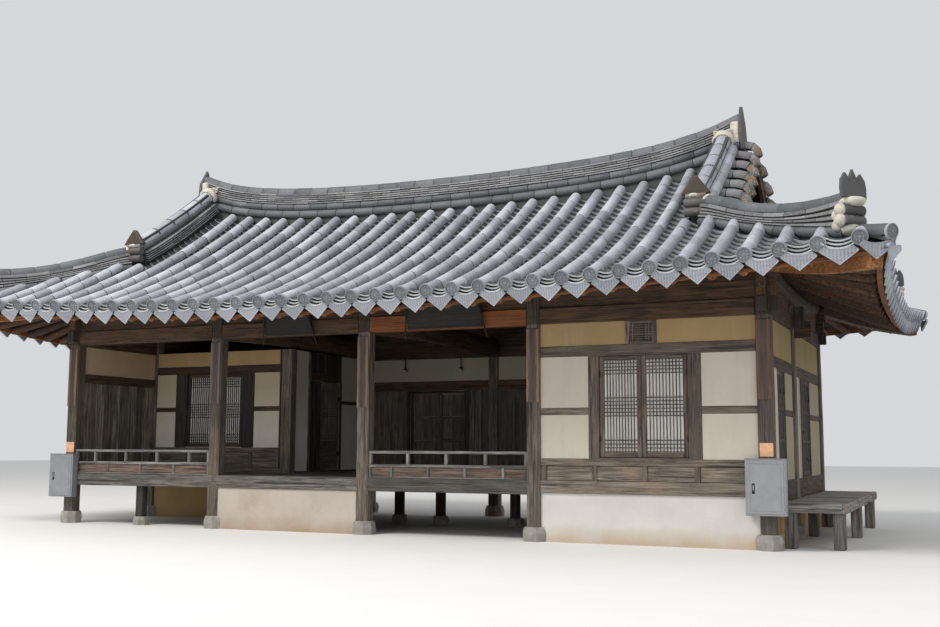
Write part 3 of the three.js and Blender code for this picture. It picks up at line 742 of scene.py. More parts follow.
DARK_X = wood("dark_timber_x", 0, *DARK_WOOD)
DARK_Y = wood("dark_timber_y", 1, *DARK_WOOD)
DARK_Z = wood("dark_timber_z", 2, (0.024, 0.018, 0.013), (0.083, 0.066, 0.049))
GREY_X = wood("grey_boards_x", 0, (0.050, 0.045, 0.040), (0.195, 0.178, 0.155))
GREY_Y = wood("grey_boards_y", 1, (0.08, 0.073, 0.064), (0.26, 0.240, 0.210))
RAIL_X = wood("rail_timber_x", 0, (0.12, 0.115, 0.108), (0.47, 0.460, 0.435))
# Bench timber: pale grey, partly as painted light on a bench in shade
LIT_BENCH_Y = wood("lit_bench_timber_y", 1, (0.12, 0.112, 0.102), (0.46, 0.435, 0.400))
RAIL_Z = wood("rail_timber_z", 2, (0.09, 0.085, 0.078), (0.36, 0.348, 0.325))
PANEL_X = wood("panel_boards_x", 0, (0.052, 0.036, 0.028), (0.27, 0.188, 0.145))
SASH_X = wood("sash_timber_x", 0, *SASH_WOOD, 0.6)
SASH_Z = wood("sash_timber_z", 2, *SASH_WOOD, 0.6)
NEW_X = wood("new_timber_x", 0, (0.12, 0.040, 0.012), (0.30, 0.104, 0.028), 0.3)
RAFTER = wood("rafter_timber", 1, (0.16, 0.062, 0.020), (0.42, 0.180, 0.062), 0.5)
SHADED_RAFTER = wood("shaded_rafter", 1, (0.034, 0.018, 0.010), (0.145, 0.070, 0.033), 0.5)
EAVE_WOOD = wood("eave_timber", 0, (0.12, 0.046, 0.015), (0.32, 0.130, 0.044))
LINING = wood("lining_boards", 0, (0.026, 0.012, 0.006), (0.105, 0.048, 0.020), 0.5)
PLASTER = lime("wall_plaster", (0.60, 0.545, 0.465), (0.40, 0.28, 0.135), 2.25)
# Veranda plaster: pale below, painted shade towards the top
VERANDA_PLASTER = lime(
    "veranda_plaster", (0.80, 0.75, 0.66), (0.49, 0.335, 0.165), 2.30, top_shade=(0.53, 0.44, 0.30)
)
VERANDA_END = lime("veranda_end_plaster", (0.58, 0.43, 0.27), (0.58, 0.43, 0.27), 2.0)
# Short side's plaster: its own olive tone, darkened further as painted shade
SHADED_SIDE_PLASTER = lime("shaded_side_plaster", (0.37, 0.325, 0.225), (0.35, 0.265, 0.115), 2.09)
SIDE_STRIP = lime("side_strip_plaster", (0.52, 0.48, 0.40))
INNER_PLASTER = lime("inner_plaster", (0.46, 0.42, 0.33))
# Hall plaster: pale below, painted shade towards the top
HALL_PLASTER = lime("hall_plaster", (0.86, 0.86, 0.81), top_shade=(0.60, 0.56, 0.46))
HALL_BASE = lime("hall_base_plaster", (0.50, 0.445, 0.38), stain=(0.30, 0.22, 0.13))
CLAY_BASE = lime("clay_base", (0.42, 0.28, 0.12), stain=(0.25, 0.17, 0.09))
# The bare clay beyond the corner is made paler, partly as painted sunlight under the bench
ROOM_2_CLAY = two_faced_base(
    "room_2_base_plaster", (0.64, 0.615, 0.58), (0.74, 0.50, 0.22), COLUMN_X[4] + 0.03
)
PAPER = plain_finish("window_paper", (0.80, 0.80, 0.77), 0.85, mottle=0.1, scale=6)
OLD_PAPER = plain_finish("smoked_paper", (0.50, 0.49, 0.44), 0.85, mottle=0.3, scale=6)
IRON = plain_finish("old_iron", (0.035, 0.032, 0.03), 0.55, 0.8)
BOX_METAL = plain_finish("box_paint", (0.300, 0.308, 0.328), 0.45, 0.35, mottle=0.15, scale=9)
PLATE_PAINT = plain_finish("plate_paint", (0.90, 0.50, 0.30), 0.6, scale=18)
STONE = plain_finish("base_stone", (0.34, 0.32, 0.29), 0.88, mottle=0.35, scale=11)
BOARD_BLACK = wood("board_lacquer", 0, (0.007, 0.007, 0.008), (0.022, 0.021, 0.021), 0.3)

# Timbers of a piece: along X, Y and Z when old, the same when dark, and what goes with them
TIMBERS = (OLD_X, OLD_Y, OLD_Z, DARK_X, DARK_Y, DARK_Z, PAPER, IRON, NEW_X, STONE)

# Walls that stay in view as they are, and their finishes
WALL_LOOKS = (
    (VERANDA_PLASTER, ("room_1_front_wall",)),
    (VERANDA_END, ("veranda_end_wall",)),
    (PLASTER, ("room_2_front_wall", "room_1_back_wall", "room_2_back_wall", "room_1_side_wall")),
    (SHADED_SIDE_PLASTER, ("right_wall_front_frame", "right_wall_front_panel")),
    (SHADED_SIDE_PLASTER, ("right_wall_rear_frame", "right_wall_rear_panel")),
    (HALL_PLASTER, ("room_2_hall_wall", "room_1_hall_wall_frame", "room_1_hall_wall_panel")),
    (INNER_PLASTER, ("hall_back_wall_left_frame", "hall_back_wall_left_panel")),
    (INNER_PLASTER, ("hall_back_wall_right",)),
    (HALL_BASE, ("hall_foundation_wall",)),
    (ROOM_2_CLAY, ("room_2_base",)),
    (CLAY_BASE, ("room_1_base",)),
)


# Camera, light and floor


def make_stage():
    camera = place_object("camera", bpy.data.cameras.new("camera"))
    camera.data.lens = CAMERA_LENS
    camera.data.sensor_width = 36
    camera.data.clip_end = 300
    turn = Matrix.Rotation(math.radians(CAMERA_YAW), 4, "Z")
    turn = turn @ Matrix.Rotation(math.radians(90 + CAMERA_PITCH), 4, "X")
    turn = turn @ Matrix.Rotation(math.radians(CAMERA_ROLL), 4, "Z")
    camera.matrix_world = Matrix.Translation(CAMERA_PLACE) @ turn
    bpy.context.scene.camera = camera

    world = bpy.data.worlds.new("studio")
    world.use_nodes = True
    background = world.node_tree.nodes["Background"]
    background.inputs["Color"].default_value = (*SKY_COLOR, 1)
    background.inputs["Strength"].default_value = SKY_STRENGTH
    bpy.context.scene.world = world
    bpy.context.scene.view_settings.view_transform = "Standard"

    for name, place, size, power, color in LIGHTS:
        lamp = place_object(name, bpy.data.lights.new(name, "AREA"))
        lamp.data.size = size
        lamp.data.energy = power
        lamp.data.color = color
        lamp.location = place
        lamp.rotation_mode = "QUATERNION"
        lamp.rotation_quaternion = (LIGHT_AIM - Vector(place)).to_track_quat("-Z", "Y")

    ground = bpy.data.meshes.new("studio_floor")
    reach = STUDIO_REACH
    corners = [(-reach, -reach, 0), (reach, -reach, 0), (reach, reach, 0), (-reach, reach, 0)]
    ground.from_pydata(corners, [], [(0, 1, 2, 3)])
    paper = plain_finish("studio_paper", (0.72, 0.71, 0.69), 0.9, mottle=0.03, scale=2)
    ground.materials.append(paper)
    place_object("studio_floor", ground)


# Roof tiles


def round_row(
    piece, path, radius=ROUND_RADIUS, start=0.0, end=None,
    spread=ROUND_SPREAD, length=ROUND_LENGTH, slot=0, joint=1,
):
    """Half-round tiles end to end along a path, each with its lip and a dark joint."""
    end = path.length if end is None else end
    count = max(1, round((end - start) / length))
    step = (end - start) / count
    for i in range(count):
        lift, shift = jitter(0.003), jitter(0.003)
        rings = []
        for share, scale in ROUND_PROFILE:
            spot = path.at(start + (i + share) * step)
            rings.append(spot.ring(radius * scale, arc(*spread, 9), shift, lift))
        piece.sheet(rings[:4], slot=slot)
        piece.sheet(rings[3:], slot=joint)


def pan_column(piece, path, half, start=0.0):
    """Overlapping concave tiles between two round rows, from the eave up; on the slopes their tops take
    painted shade and their front edges a painted highlight.
    """

    def edge(spot, lift):
        return [spot.to(u * half, -PAN_DEPTH + PAN_RISE * u * u + lift) for u in evenly(-1, 1, 6)]

    s = start
    while s < path.length - 0.02:
        near = path.at(s)
        far = path.at(min(s + PAN_STEP + 0.02, path.length))
        tone = rng.random()
        top = edge(near, PAN_THICKNESS + rng.uniform(-0.003, 0.004))
        # The front edge takes the piece's second finish: a painted highlight on the slopes
        piece.sheet([edge(near, -0.004), top], tone, slot=1)
        # The top of each pan takes the piece's first finish: painted shade on the slopes
        piece.sheet([top, edge(far, 0.0)], tone)
        s += PAN_STEP


def end_disc(piece, path, radius=DISC_RADIUS):
    """Round end tile: raised rim, sunk field and an eight-petalled rosette."""
    spot = path.at(0.0)
    tone = rng.random()
    rings = [spot.ring(radius * size, circle(20), forward=-out) for size, out in DISC_PROFILE]
    piece.sheet(rings[:2], tone, closed=True)
    # Painted shade: the rim's inner wall and the sunk field take darker tones than the rim
    for first, share in ((1, 1.0), (2, 0.3), (3, 0.5), (4, 1.0)):
        piece.sheet(rings[first:first + 2], tone * share, smooth=False, closed=True, slot=1)
    piece.lid(rings[5], tone, 1)

    def on_disc(angle, reach, out):
        return spot.to(radius * reach * math.cos(angle), radius * reach * math.sin(angle), -out)

    for k in range(8):
        middle = math.radians(45 * k)
        sides = ((0.28, 0.0), (0.55, 0.27), (0.78, 0.0), (0.55, -0.27))
        petal = [on_disc(middle + turn, reach, 0.004) for reach, turn in sides]
        petal.append(on_disc(middle, 0.55, 0.016))
        piece.add(petal, [(0, 1, 4), (1, 2, 4), (2, 3, 4), (3, 0, 4)], tone, slot=1)


def drip_top(u):
    """Upper edge of a drip tile: hollow in the middle, falling away at the shoulders."""
    if abs(u) < DRIP_SHOULDER:
        return -0.085 + 0.052 * u * u
    return -0.058 - (abs(u) - DRIP_SHOULDER) / (1 - DRIP_SHOULDER) * 0.045


def drip_plate(piece, path, half):
    """Pointed drip tile under a pan column, ribbed from its upper edge."""
    spot = path.at(0.0)
    tone = rng.random()
    columns = []
    for i, u in enumerate(evenly(-1, 1, DRIP_RIBS)):
        top = drip_top(u)
        bottom = -DRIP_TIP + (DRIP_TIP - DRIP_CORNER) * abs(u)
        rib = 0.016 if i % 2 else 0.008
        inner = min(0.014, max(top - bottom, 0) * 0.4)
        profile = ((top, -0.01), (top, 0.018), (top - inner, rib))
        profile += ((bottom + inner, rib), (bottom, 0.018), (bottom, -0.004))
        columns.append([spot.to(u * half, level, -out) for level, out in profile])
    rows = [list(row) for row in zip(*columns)]
    piece.sheet(rows[0:2], tone)
    piece.sheet(rows[1:5], tone, smooth=False)
    piece.sheet(rows[4:6], tone)


def leading_pans(piece, path, half):
    """The tiles stacked over the drip tile, their edges showing one over another: the edges in a
    painted highlight, the tops in painted shade.
    """
    for step, rise in LEADING_STEPS:
        tone = rng.random()

        def edge(spot, lift, forward=0.0):
            return [
                spot.to(u * half * 0.86, -0.088 + rise + 0.062 * u * u + lift, forward)
                for u in evenly(-1, 1, 8)
            ]

        near, far = path.at(step), path.at(step + 0.12)
        top = edge(near, 0.016, -0.004)
        piece.sheet([edge(near, 0.0, -0.004), top], tone, slot=2)
        piece.sheet([top, edge(far, 0.008)], tone)


def tile_slope(name, places, path_for_row, path_for_pan):
    """Round rows, pans between them, and end tiles of one slope."""
    rounds = Piece(f"{name}_round_tiles", CLAY, JOINT_CLAY)
    pans = Piece(f"{name}_pan_tiles", SHADED_PAN_CLAY, LIT_EDGE_CLAY, LIT_LEADING_CLAY)
    ends = Piece(f"{name}_end_tiles", DRIP_CLAY, DISC_CLAY)
    spots = sorted([-p for p in places] + places)
    for place in spots:
        path = path_for_row(place)
        round_row(rounds, path)
        end_disc(ends, path)
    for a, b in zip(spots, spots[1:]):
        path = path_for_pan((a + b) / 2)
        half = (b - a) / 2
        pan_column(pans, path, half - 0.02, 0.09)
        drip_plate(ends, path, half - 0.006)
        leading_pans(pans, path, half)
    return rounds, pans, ends


def row_places(count, corner_rows):
    return [ROW_PITCH * (0.5 + k) for k in range(count)] + list(corner_rows)


def long_slope(side):
    """The front (side -1) or rear (side 1) slope."""

    def up_to(x, top):
        return path_over(main_slope, (x, side * eave_y(x)), (x, side * top), side=(-side, 0, 0))

    def row(x):
        if abs(x) < 4.0:
            return up_to(x, 0.12)
        return up_to(x, DESCENT_END_Y + 0.08 if abs(x) < 4.3 else hip_y(x) + 0.05)

    def pan(x):
        return up_to(x, 0.10 if abs(x) < 4.2 else max(hip_y(x) + 0.02, DESCENT_END_Y))

    name = "front" if side < 0 else "rear"
    return tile_slope(name, row_places(16, CORNER_ROWS_FRONT), row, pan)


def end_slope(side):
    """The left (side -1) or right (side 1) slope under the gable."""

    def up_to(y, past):
        top = GABLE_X + 0.03 if abs(y) < HIP_START[1] - 0.05 else hip_x(y) + past
        return path_over(side_slope, (side * eave_x(y), y), (side * top, y), side=(0, side, 0))

    def row(y):
        return up_to(y, 0.05)

    def pan(y):
        return up_to(y, 0.02)

    name = "left" if side < 0 else "right"
    return tile_slope(name, row_places(9, CORNER_ROWS_SIDE), row, pan)


# Ridges of stacked tiles


def flat_courses(
    piece, path, count, bottom, pitch, half, end_half,
    start=0.0, end=None, thickness=0.5, slot=2,
):
    """Thin tiles laid flat in courses along a ridge, both edges showing."""
    end = path.length if end is None else end
    for row in range(count):
        width = half + (end_half - half) * (row / max(count - 1, 1))
        s = start - (0.0 if row % 2 else COURSE_STAGGER)
        while s < end:
            a, b = max(s + COURSE_JOINT, start), min(s + COURSE_LENGTH - COURSE_JOINT, end)
            s += COURSE_LENGTH
            if b - a < 0.02:
                continue
            tone = rng.random()
            shift = jitter(0.005)
            rings = []
            for t in (a, (a + b) / 2, b):
                base = value_at(bottom, t) + row * value_at(pitch, t)
                low, top = base + 0.001, base + value_at(pitch, t) * thickness
                section = ((-width, low), (width, low), (width - 0.002, top), (0.002 - width, top))
                rings.append([path.at(t).to(across + shift, up) for across, up in section])
            piece.tube(rings, tone, smooth=False, slot=slot)


def ridge_core(piece, path, half, bottom, top, start=0.0, end=None):
    """Mortar body inside a ridge, in shade between the courses."""
    rings = []
    for s in evenly(start, path.length if end is None else end, 24):
        low, high = value_at(bottom, s), value_at(top, s)
        section = ((-half, low), (half, low), (half, high), (-half, high))
        rings.append([path.at(s).to(*corner) for corner in section])
    piece.tube(rings, 0.5, smooth=False)


def side_rounds(
    piece, path, offset, level, radius, length, start=0.0, end=None, sides=(-1, 1), slot=0
):
    """Round tiles laid along both flanks of a ridge."""
    end = path.length if end is None else end
    count = max(1, round((end - start) / length))
    step = (end - start) / count
    for side, i in product(sides, range(count)):
        rings = []
        for share, scale in SIDE_ROUND_PROFILE:
            reach = start + (i + share) * step
            base = value_at(level, reach)
            size = radius * scale
            turn = [(side * (offset + size * c), base + size * s) for c, s in arc(-95, 95, 7)]
            rings.append([path.at(reach).to(across, up) for across, up in turn])
        piece.sheet(rings, slot=slot)


def main_ridge():
    piece = Piece("main_ridge_tiles", RIDGE_CLAY, JOINT_CLAY, COURSE_CLAY, CLAY)
    core = Piece("main_ridge_core", CORE_CLAY)
    path = Path([(x, 0, ridge_height(x)) for x in evenly(-MAIN_RIDGE_END, MAIN_RIDGE_END, 60)])
    side_rounds(piece, path, offset=0.085, level=0.035, radius=0.066, length=ROW_PITCH)
    side_rounds(piece, path, offset=0.078, level=0.155, radius=0.058, length=CAP_LENGTH)
    flat_courses(piece, path, 5, 0.205, 0.034, half=0.136, end_half=0.116, thickness=0.55)
    round_row(piece, path.raised(0.385), 0.098, spread=(-15, 195), length=CAP_LENGTH, joint=0)
    ridge_core(core, path, half=0.088, bottom=-0.15, top=0.38)
    return piece, core


def end_blade(piece, centre, outward, width, height, points, thickness=0.035):
    """A crested end tile: a plate with one or more points on its upper edge."""
    across = Vector((-outward.y, outward.x, 0)).normalized()
    out = outward.normalized()
    outline = [(-0.5, 0.0), (0.5, 0.0), (0.52, 0.35)]
    for i in range(points):
        a = 0.48 - 0.96 * i / points
        b = 0.48 - 0.96 * (i + 1) / points
        outline.append((a, 0.62 if i == 0 else 0.66))
        outline.append(((a + b) / 2, 1.0 if i == points // 2 else 0.86))
    outline += [(-0.48, 0.62), (-0.52, 0.35)]
    rings = []
    for depth, scale in ((0.0, 0.96), (0.008, 1.0), (thickness - 0.008, 1.0), (thickness, 0.96)):
        ring = []
        for u, v in outline:
            curve = CREST_BEND * (v - 0.2) * height
            up = Vector((0, 0, height * (0.5 + (v - 0.5) * scale)))
            place = Vector(centre) + across * (u * width * scale) + up
            ring.append(place + out * (depth - thickness / 2 + curve))
        rings.append(ring)
    piece.tube(rings, None, smooth=False)


def pointed_tile(piece, centre, outward, width, height, thickness):
    """A three-cornered end tile standing across a ridge."""
    out = Vector(outward).normalized()
    across = Vector((-out.y, out.x, 0))
    outline = ((-0.5, 0.0), (0.5, 0.0), (0.53, 0.06), (0.06, 1.0), (-0.06, 1.0), (-0.53, 0.06))
    rings = []
    for depth, scale in ((-0.5, 0.9), (-0.38, 1.0), (0.38, 1.0), (0.5, 0.9)):
        middle = Vector(centre) + out * (depth * thickness)
        sized = [(across * (u * width * scale), Vector((0, 0, v * height * scale))) for u, v in outline]
        rings.append([middle + aside + up for aside, up in sized])
    piece.tube(rings, 0.5, smooth=False, slot=3)


def round_bar(piece, a, b, radius, slot=0, tone=None, steps=12):
    """A round tile or rod between two points."""
    a, b = Vector(a), Vector(b)
    along = (b - a).normalized()
    side = along.orthogonal().normalized()
    rings = []
    for share, scale in BAR_PROFILE:
        spot = Spot(a + (b - a) * share, along, side, side.cross(along))
        rings.append(spot.ring(radius * scale, circle(steps)))
    piece.tube(rings, tone, slot=slot)


def lump(piece, centre, size, seed):
    """A rounded dab of mortar."""
    rows = []
    for i in range(7):
        theta = math.pi * (0.02 + 0.96 * i / 6)
        row = []
        for j in range(12):
            phi = 2 * math.pi * j / 12
            wobble = (1 + 0.06 * math.sin(3 * phi + seed + 2 * theta)) * math.sin(theta)
            across, deep = size[0] * wobble * math.cos(phi), size[1] * wobble * math.sin(phi)
            row.append(Vector(centre) + Vector((across, deep, size[2] * math.cos(theta))))
        rows.append(row)
    piece.sheet(rows, 0.6, slot=1, closed=True)
    piece.lid(rows[0], 0.6, 1)
    piece.lid(rows[-1], 0.6, 1)


def collar(piece, path, radius, at, length):
    """A band of mortar round a ridge tile."""
    profile = ((0.0, 0.78), (0.008, 0.97), (length - 0.012, 1.0), (length, 0.78))
    rings = [path.at(at + s).ring(radius * scale, arc(-35, 215, 12)) for s, scale in profile]
    piece.sheet(rings, 0.6, slot=1)


def descending_ridge(tiles, core, trim, sx, sy):
    """The ridge that runs down from the main ridge along the verge."""
    x = sx * DESCENT_X
    path = path_over(main_slope, (x, sy * 0.14), (x, sy * DESCENT_END_Y), 20, side=(sy, 0, 0))
    length = path.length
    outside = sx * sy
    flat_courses(tiles, path, 5, 0.010, 0.031, half=0.178, end_half=0.172, end=length - 0.08)
    outer = {"sides": (outside,), "length": RIDGE_ROUND_LENGTH, "end": length - 0.06, "slot": 3}
    inner = {"sides": (-outside,), "length": RIDGE_ROUND_LENGTH, "end": length - 0.10}
    side_rounds(tiles, path, offset=0.122, level=0.165, radius=0.080, start=0.05, **outer)
    side_rounds(tiles, path, offset=0.075, level=0.215, radius=0.050, start=0.05, **inner)
    cap = path.raised(0.300)
    round_row(tiles, cap, 0.108, 0.06, cap.length - 0.03, spread=(-20, 200), length=0.36, slot=3)
    ridge_core(core, path, half=0.095, bottom=-0.12, top=0.33, end=length - 0.06)
    collar(trim, cap, radius=0.148, at=0.03, length=0.10)
    descent_end(trim, sx, sy)


def descent_end(trim, sx, sy):
    """Round tiles, mortar and a pointed tile at a descending ridge's foot, and courses at its head."""
    middle = sx * DESCENT_X
    foot = main_slope(middle, sy * DESCENT_END_Y)
    y = sy * (DESCENT_END_Y + 0.075)

    def bar(half, level, radius, slot=0, tone=None):
        ends = [(middle + side * half, y, foot + level) for side in (-1, 1)]
        round_bar(trim, *ends, radius, slot, tone)

    for level in END_BAR_LEVELS:
        bar(0.138, level, END_BAR_RADIUS)
    bar(0.123, 0.265, 0.040, 2, 0.9)
    lump(trim, (middle - 0.03, y + sy * 0.012, foot + 0.272), (0.085, 0.036, 0.030), 3.0)
    pointed_tile(trim, (middle, y, foot + 0.285), (0, sy, 0), 0.33, 0.22, 0.07)
    for k, (out, up) in enumerate(VERGE_COURSES):
        x = ordered(sx * (DESCENT_X - 0.13 - 0.01 * k), sx * (DESCENT_X + 0.12))
        y = ordered(sy * (out - 0.03), sy * (out + 0.012))
        z = ridge_height(DESCENT_X) + up
        trim.beam(x, y, (z, z + 0.022), tone=0.7, slot=1)


def hip_ridge(tiles, core, trim, sx, sy):
    """The ridge over a hip, swept up towards the corner, and its crested end."""
    start = (sx * (HIP_START[0] + 0.03), sy * (HIP_START[1] + 0.03))
    path = path_over(hipped, start, (sx * HIP_RIDGE_END[0], sy * HIP_RIDGE_END[1]), 26)
    length = path.length

    def rise(s):
        share = s / length
        return 0.265 - 0.12 * share + 0.29 * share**2.6

    def sink(s):
        return -0.055 * (1 - s / length)

    def lowest(s):
        return 0.045 + sink(s)

    def lowest_round(s):
        return sink(s) - 0.015

    def pitch(s):
        return (rise(s) - 0.158 - lowest(s)) / 3

    def under_cap(s):
        return rise(s) - 0.155

    side_rounds(tiles, path, offset=0.068, level=lowest_round, radius=0.064, length=RIDGE_ROUND_LENGTH)
    flat_courses(tiles, path, 3, lowest, pitch, half=0.122, end_half=0.112, thickness=0.6)
    flat_courses(tiles, path, 1, under_cap, 0.045, half=0.112, end_half=0.112, thickness=0.95)
    cap = Path([path.at(s).to(0, rise(s) - 0.085) for s in evenly(0.0, length, 24)])
    round_row(tiles, cap, 0.084, spread=(-14, 194), length=RIDGE_ROUND_LENGTH, joint=0)
    collar(trim, cap, radius=0.098, at=0.0, length=0.045)
    ridge_core(core, path, half=0.078, bottom=-0.15, top=under_cap)
    hip_end(trim, sx, sy)


def hip_end(trim, sx, sy):
    """Stacked round tiles, dabs of mortar and a crest, its holes drawn as dark plugs of painted shade,
    at the foot of a hip ridge.
    """
    run = [end - start for start, end in zip(HIP_START, HIP_END)]
    outward = Vector((sx * run[0], sy * run[1], 0)).normalized()
    across = Vector((-outward.y, outward.x, 0))
    tip = Vector((sx * HIP_TIP[0], sy * HIP_TIP[1], 0))
    foot = hipped(tip.x, tip.y)

    def at(out, up):
        return tip + outward * out + Vector((0, 0, foot + up))

    for level in (0.11, 0.215):
        centre = at(0, level)
        round_bar(trim, centre + across * 0.125, centre - across * 0.125, 0.056)
        for side in (-1, 1):
            aside = across * (side * 0.135)
            lump(trim, at(-0.035, level) + aside, (0.062, 0.062, 0.070), level)
            lump(trim, at(-0.085, level - 0.05) + aside, (0.05, 0.05, 0.062), level + 1)
    lump(trim, at(-0.05, 0.02), (0.125, 0.125, 0.07), 4.0)
    lump(trim, at(0, 0.300), (0.135, 0.125, 0.055), 0.5)
    crest = at(0.01, 0.335)
    end_blade(trim, crest, outward, CREST_WIDTH, CREST_HEIGHT, 3)
    # Dark plugs stand for the crest's holes: painted shade, not openings
    for u, v in CREST_HOLES:
        curve = outward * (CREST_BEND * (v - 0.2) * CREST_HEIGHT)
        hole = crest + across * (u * CREST_WIDTH) + Vector((0, 0, v * CREST_HEIGHT)) + curve
        round_bar(trim, hole - outward * 0.021, hole + outward * 0.021, 0.011, 0, 0.0, 8)


def corner_tiles(tiles, corners, sx, sy):
    """The row that ends in a corner's disc, and the drip tiles on both sides of it."""
    (out_x, out_y), (in_x, in_y) = CORNER_ROW
    path = path_over(hipped, (sx * out_x, sy * out_y), (sx * in_x, sy * in_y), 6).raised(-0.005)
    round_row(tiles, path, 0.076)
    end_disc(corners, path, 0.078)
    for place, aim in CORNER_DRIPS:
        x, y = sx * place[0], sy * place[1]
        inner = (x - sx * aim[0] * 0.2, y - sy * aim[1] * 0.2)
        drip_plate(corners, path_over(hipped, (x, y), inner, 3), 0.165)


def verge_tiles(piece, sx):
    """Rows that run outward from the descending ridges and bend down over the verge."""

    def bent(y, reach, profile, lift=0.0):
        level = main_slope(GABLE_X + 0.1, y)
        x = GABLE_X + 0.05
        return Path([(sx * (x + out * reach), y, level + up + lift) for out, up in profile], (0, sx, 0))

    for k in range(-VERGE_ROWS + 1, VERGE_ROWS):
        y = k * VERGE_ROW_PITCH
        reach = 1.0 + 0.25 * min(abs(y) / 1.2, 1.0)
        row = bent(y, reach, VERGE_ROW_BEND[::-1])
        bend = {"radius": 0.072, "spread": VERGE_SPREAD}
        round_row(piece, row, end=VERGE_ELBOW, length=VERGE_ELBOW, slot=2, **bend)
        round_row(piece, row, start=VERGE_ELBOW, length=0.22, **bend)
        piece.lid(row.at(0.0).ring(0.064, arc(*VERGE_SPREAD, 9), forward=0.003), 0.2, 1)
        if k < VERGE_ROWS - 1:
            pans = bent(y + VERGE_ROW_PITCH / 2, reach, VERGE_ROW_BEND[4::-1], -0.03)
            pan_column(piece, pans, VERGE_ROW_PITCH / 2)


def main_ridge_end(trim, sx):
    """The tall end tile of the main ridge, backed with plaster."""
    top = ridge_height(MAIN_END_X)
    end_blade(trim, (sx * MAIN_END_X, 0, top - 0.06), Vector((sx, 0, 0)), 0.30, 0.62, 1, 0.05)
    plaster = ordered(sx * (MAIN_END_X - 0.15), sx * (MAIN_END_X - 0.03))
    trim.beam(plaster, (-0.142, 0.142), (top + 0.02, top + 0.33), bevel=0.02, tone=0.6, slot=1)


def all_roof_tiles():
    slopes = []
    for side in (-1, 1):
        slopes.append((long_slope(side), "roof_front" if side < 0 else "roof_rear"))
        slopes.append((end_slope(side), "roof_left" if side < 0 else "roof_right"))
    for (rounds, pans, ends), node in slopes:
        rounds.make(slot="tiles", replaces=[node])
        pans.make(slot="tiles")
        ends.make(slot="tiles")

    ridge, core = main_ridge()
    trim = Piece("ridge_end_tiles", DARK_CLAY, MORTAR, STAINED_CLAY, BROWN_CLAY)
    corners = Piece("corner_end_tiles", DRIP_CLAY, DISC_CLAY)
    verge = Piece("verge_tiles", VERGE_CLAY, JOINT_CLAY, STAINED_CLAY)
    for sx in (-1, 1):
        for sy in (-1, 1):
            descending_ridge(ridge, core, trim, sx, sy)
            hip_ridge(ridge, core, trim, sx, sy)
            corner_tiles(ridge, corners, sx, sy)
        verge_tiles(verge, sx)
        main_ridge_end(trim, sx)
    corner_ridges = [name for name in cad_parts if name.startswith("roof_ridge_")]
    ridge.make(slot="tiles", replaces=["main_ridge"] + corner_ridges)
    for piece in (core, trim, corners, verge):
        piece.make(slot="tiles")


# Timber under the roof


def roof_lining():
    """Boards over the rafters, seen from below."""
    piece = Piece("roof_lining_boards", LINING)
    inset = 0.04
    for sy in (-1, 1):
        rows = []
        for x in evenly(-VERGE_X, VERGE_X, 40):
            depths = evenly(eave_y(x) - inset, 0, 16)
            rows.append([Vector((x, sy * y, main_slope(x, y) - LINING_DROP)) for y in depths])
        piece.sheet(rows, 0.5)
    inner = GABLE_X - 0.05
    for sx in (-1, 1):
        rows = []
        for i in range(25):
            row = []
            for v in evenly(-1, 1, 40):
                reach = eave_x(v * (EAVE_Y - inset)) - inset
                x = inner + (reach - inner) * i / 24
                y = v * (eave_y(x) - inset)
                row.append(Vector((sx * x, y, hipped(x, y) - LINING_DROP)))
            rows.append(row)
        piece.sheet(rows, 0.5)
    return piece.make(slot="timber")


def eave_boards():
    """The curved boards that carry the lowest tiles."""
    piece = Piece("eave_boards", EAVE_WOOD)
    for reach, steps, run in EAVE_BOARD_RUNS:
        for side in (-1, 1):
            rings = []
            for u in evenly(-reach, reach, steps):
                edge = (eave_y(u) if run == "x" else eave_x(u)) - EAVE_BOARD_INSET
                z = hipped(u, edge) if run == "x" else hipped(edge, u)
                ring = []
                for inward, up in EAVE_BOARD_SECTION:
                    out = side * (edge - inward)
                    place = (u, out) if run == "x" else (out, u)
                    ring.append(Vector((*place, z + up)))
                rings.append(ring)
            piece.tube(rings, 0.3, smooth=False)
    return piece.make(slot="timber")


def rafter(piece, start, end, height, slot=0):
    path = path_over(height, start, end, 8, -RAFTER_DROP)
    rings = [path.at(s).ring(RAFTER_RADIUS, circle(12)) for s in evenly(0.0, path.length, 8)]
    piece.tube(rings, slot=slot)


def hip_rafter(piece, start, end, slot):
    """The deep beam under a hip, bowed along its lower edge."""
    path = path_over(hipped, start, end, 12, -0.16)
    rings = []
    for share in evenly(0.0, 1.0, 12):
        low = -0.20 - 0.06 * math.sin(math.pi * share)
        section = ((-0.075, 0.0), (0.075, 0.0), (0.07, low), (-0.07, low))
        rings.append([path.at(path.length * share).to(*corner) for corner in section])
    piece.tube(rings, 0.2, smooth=False, slot=slot)


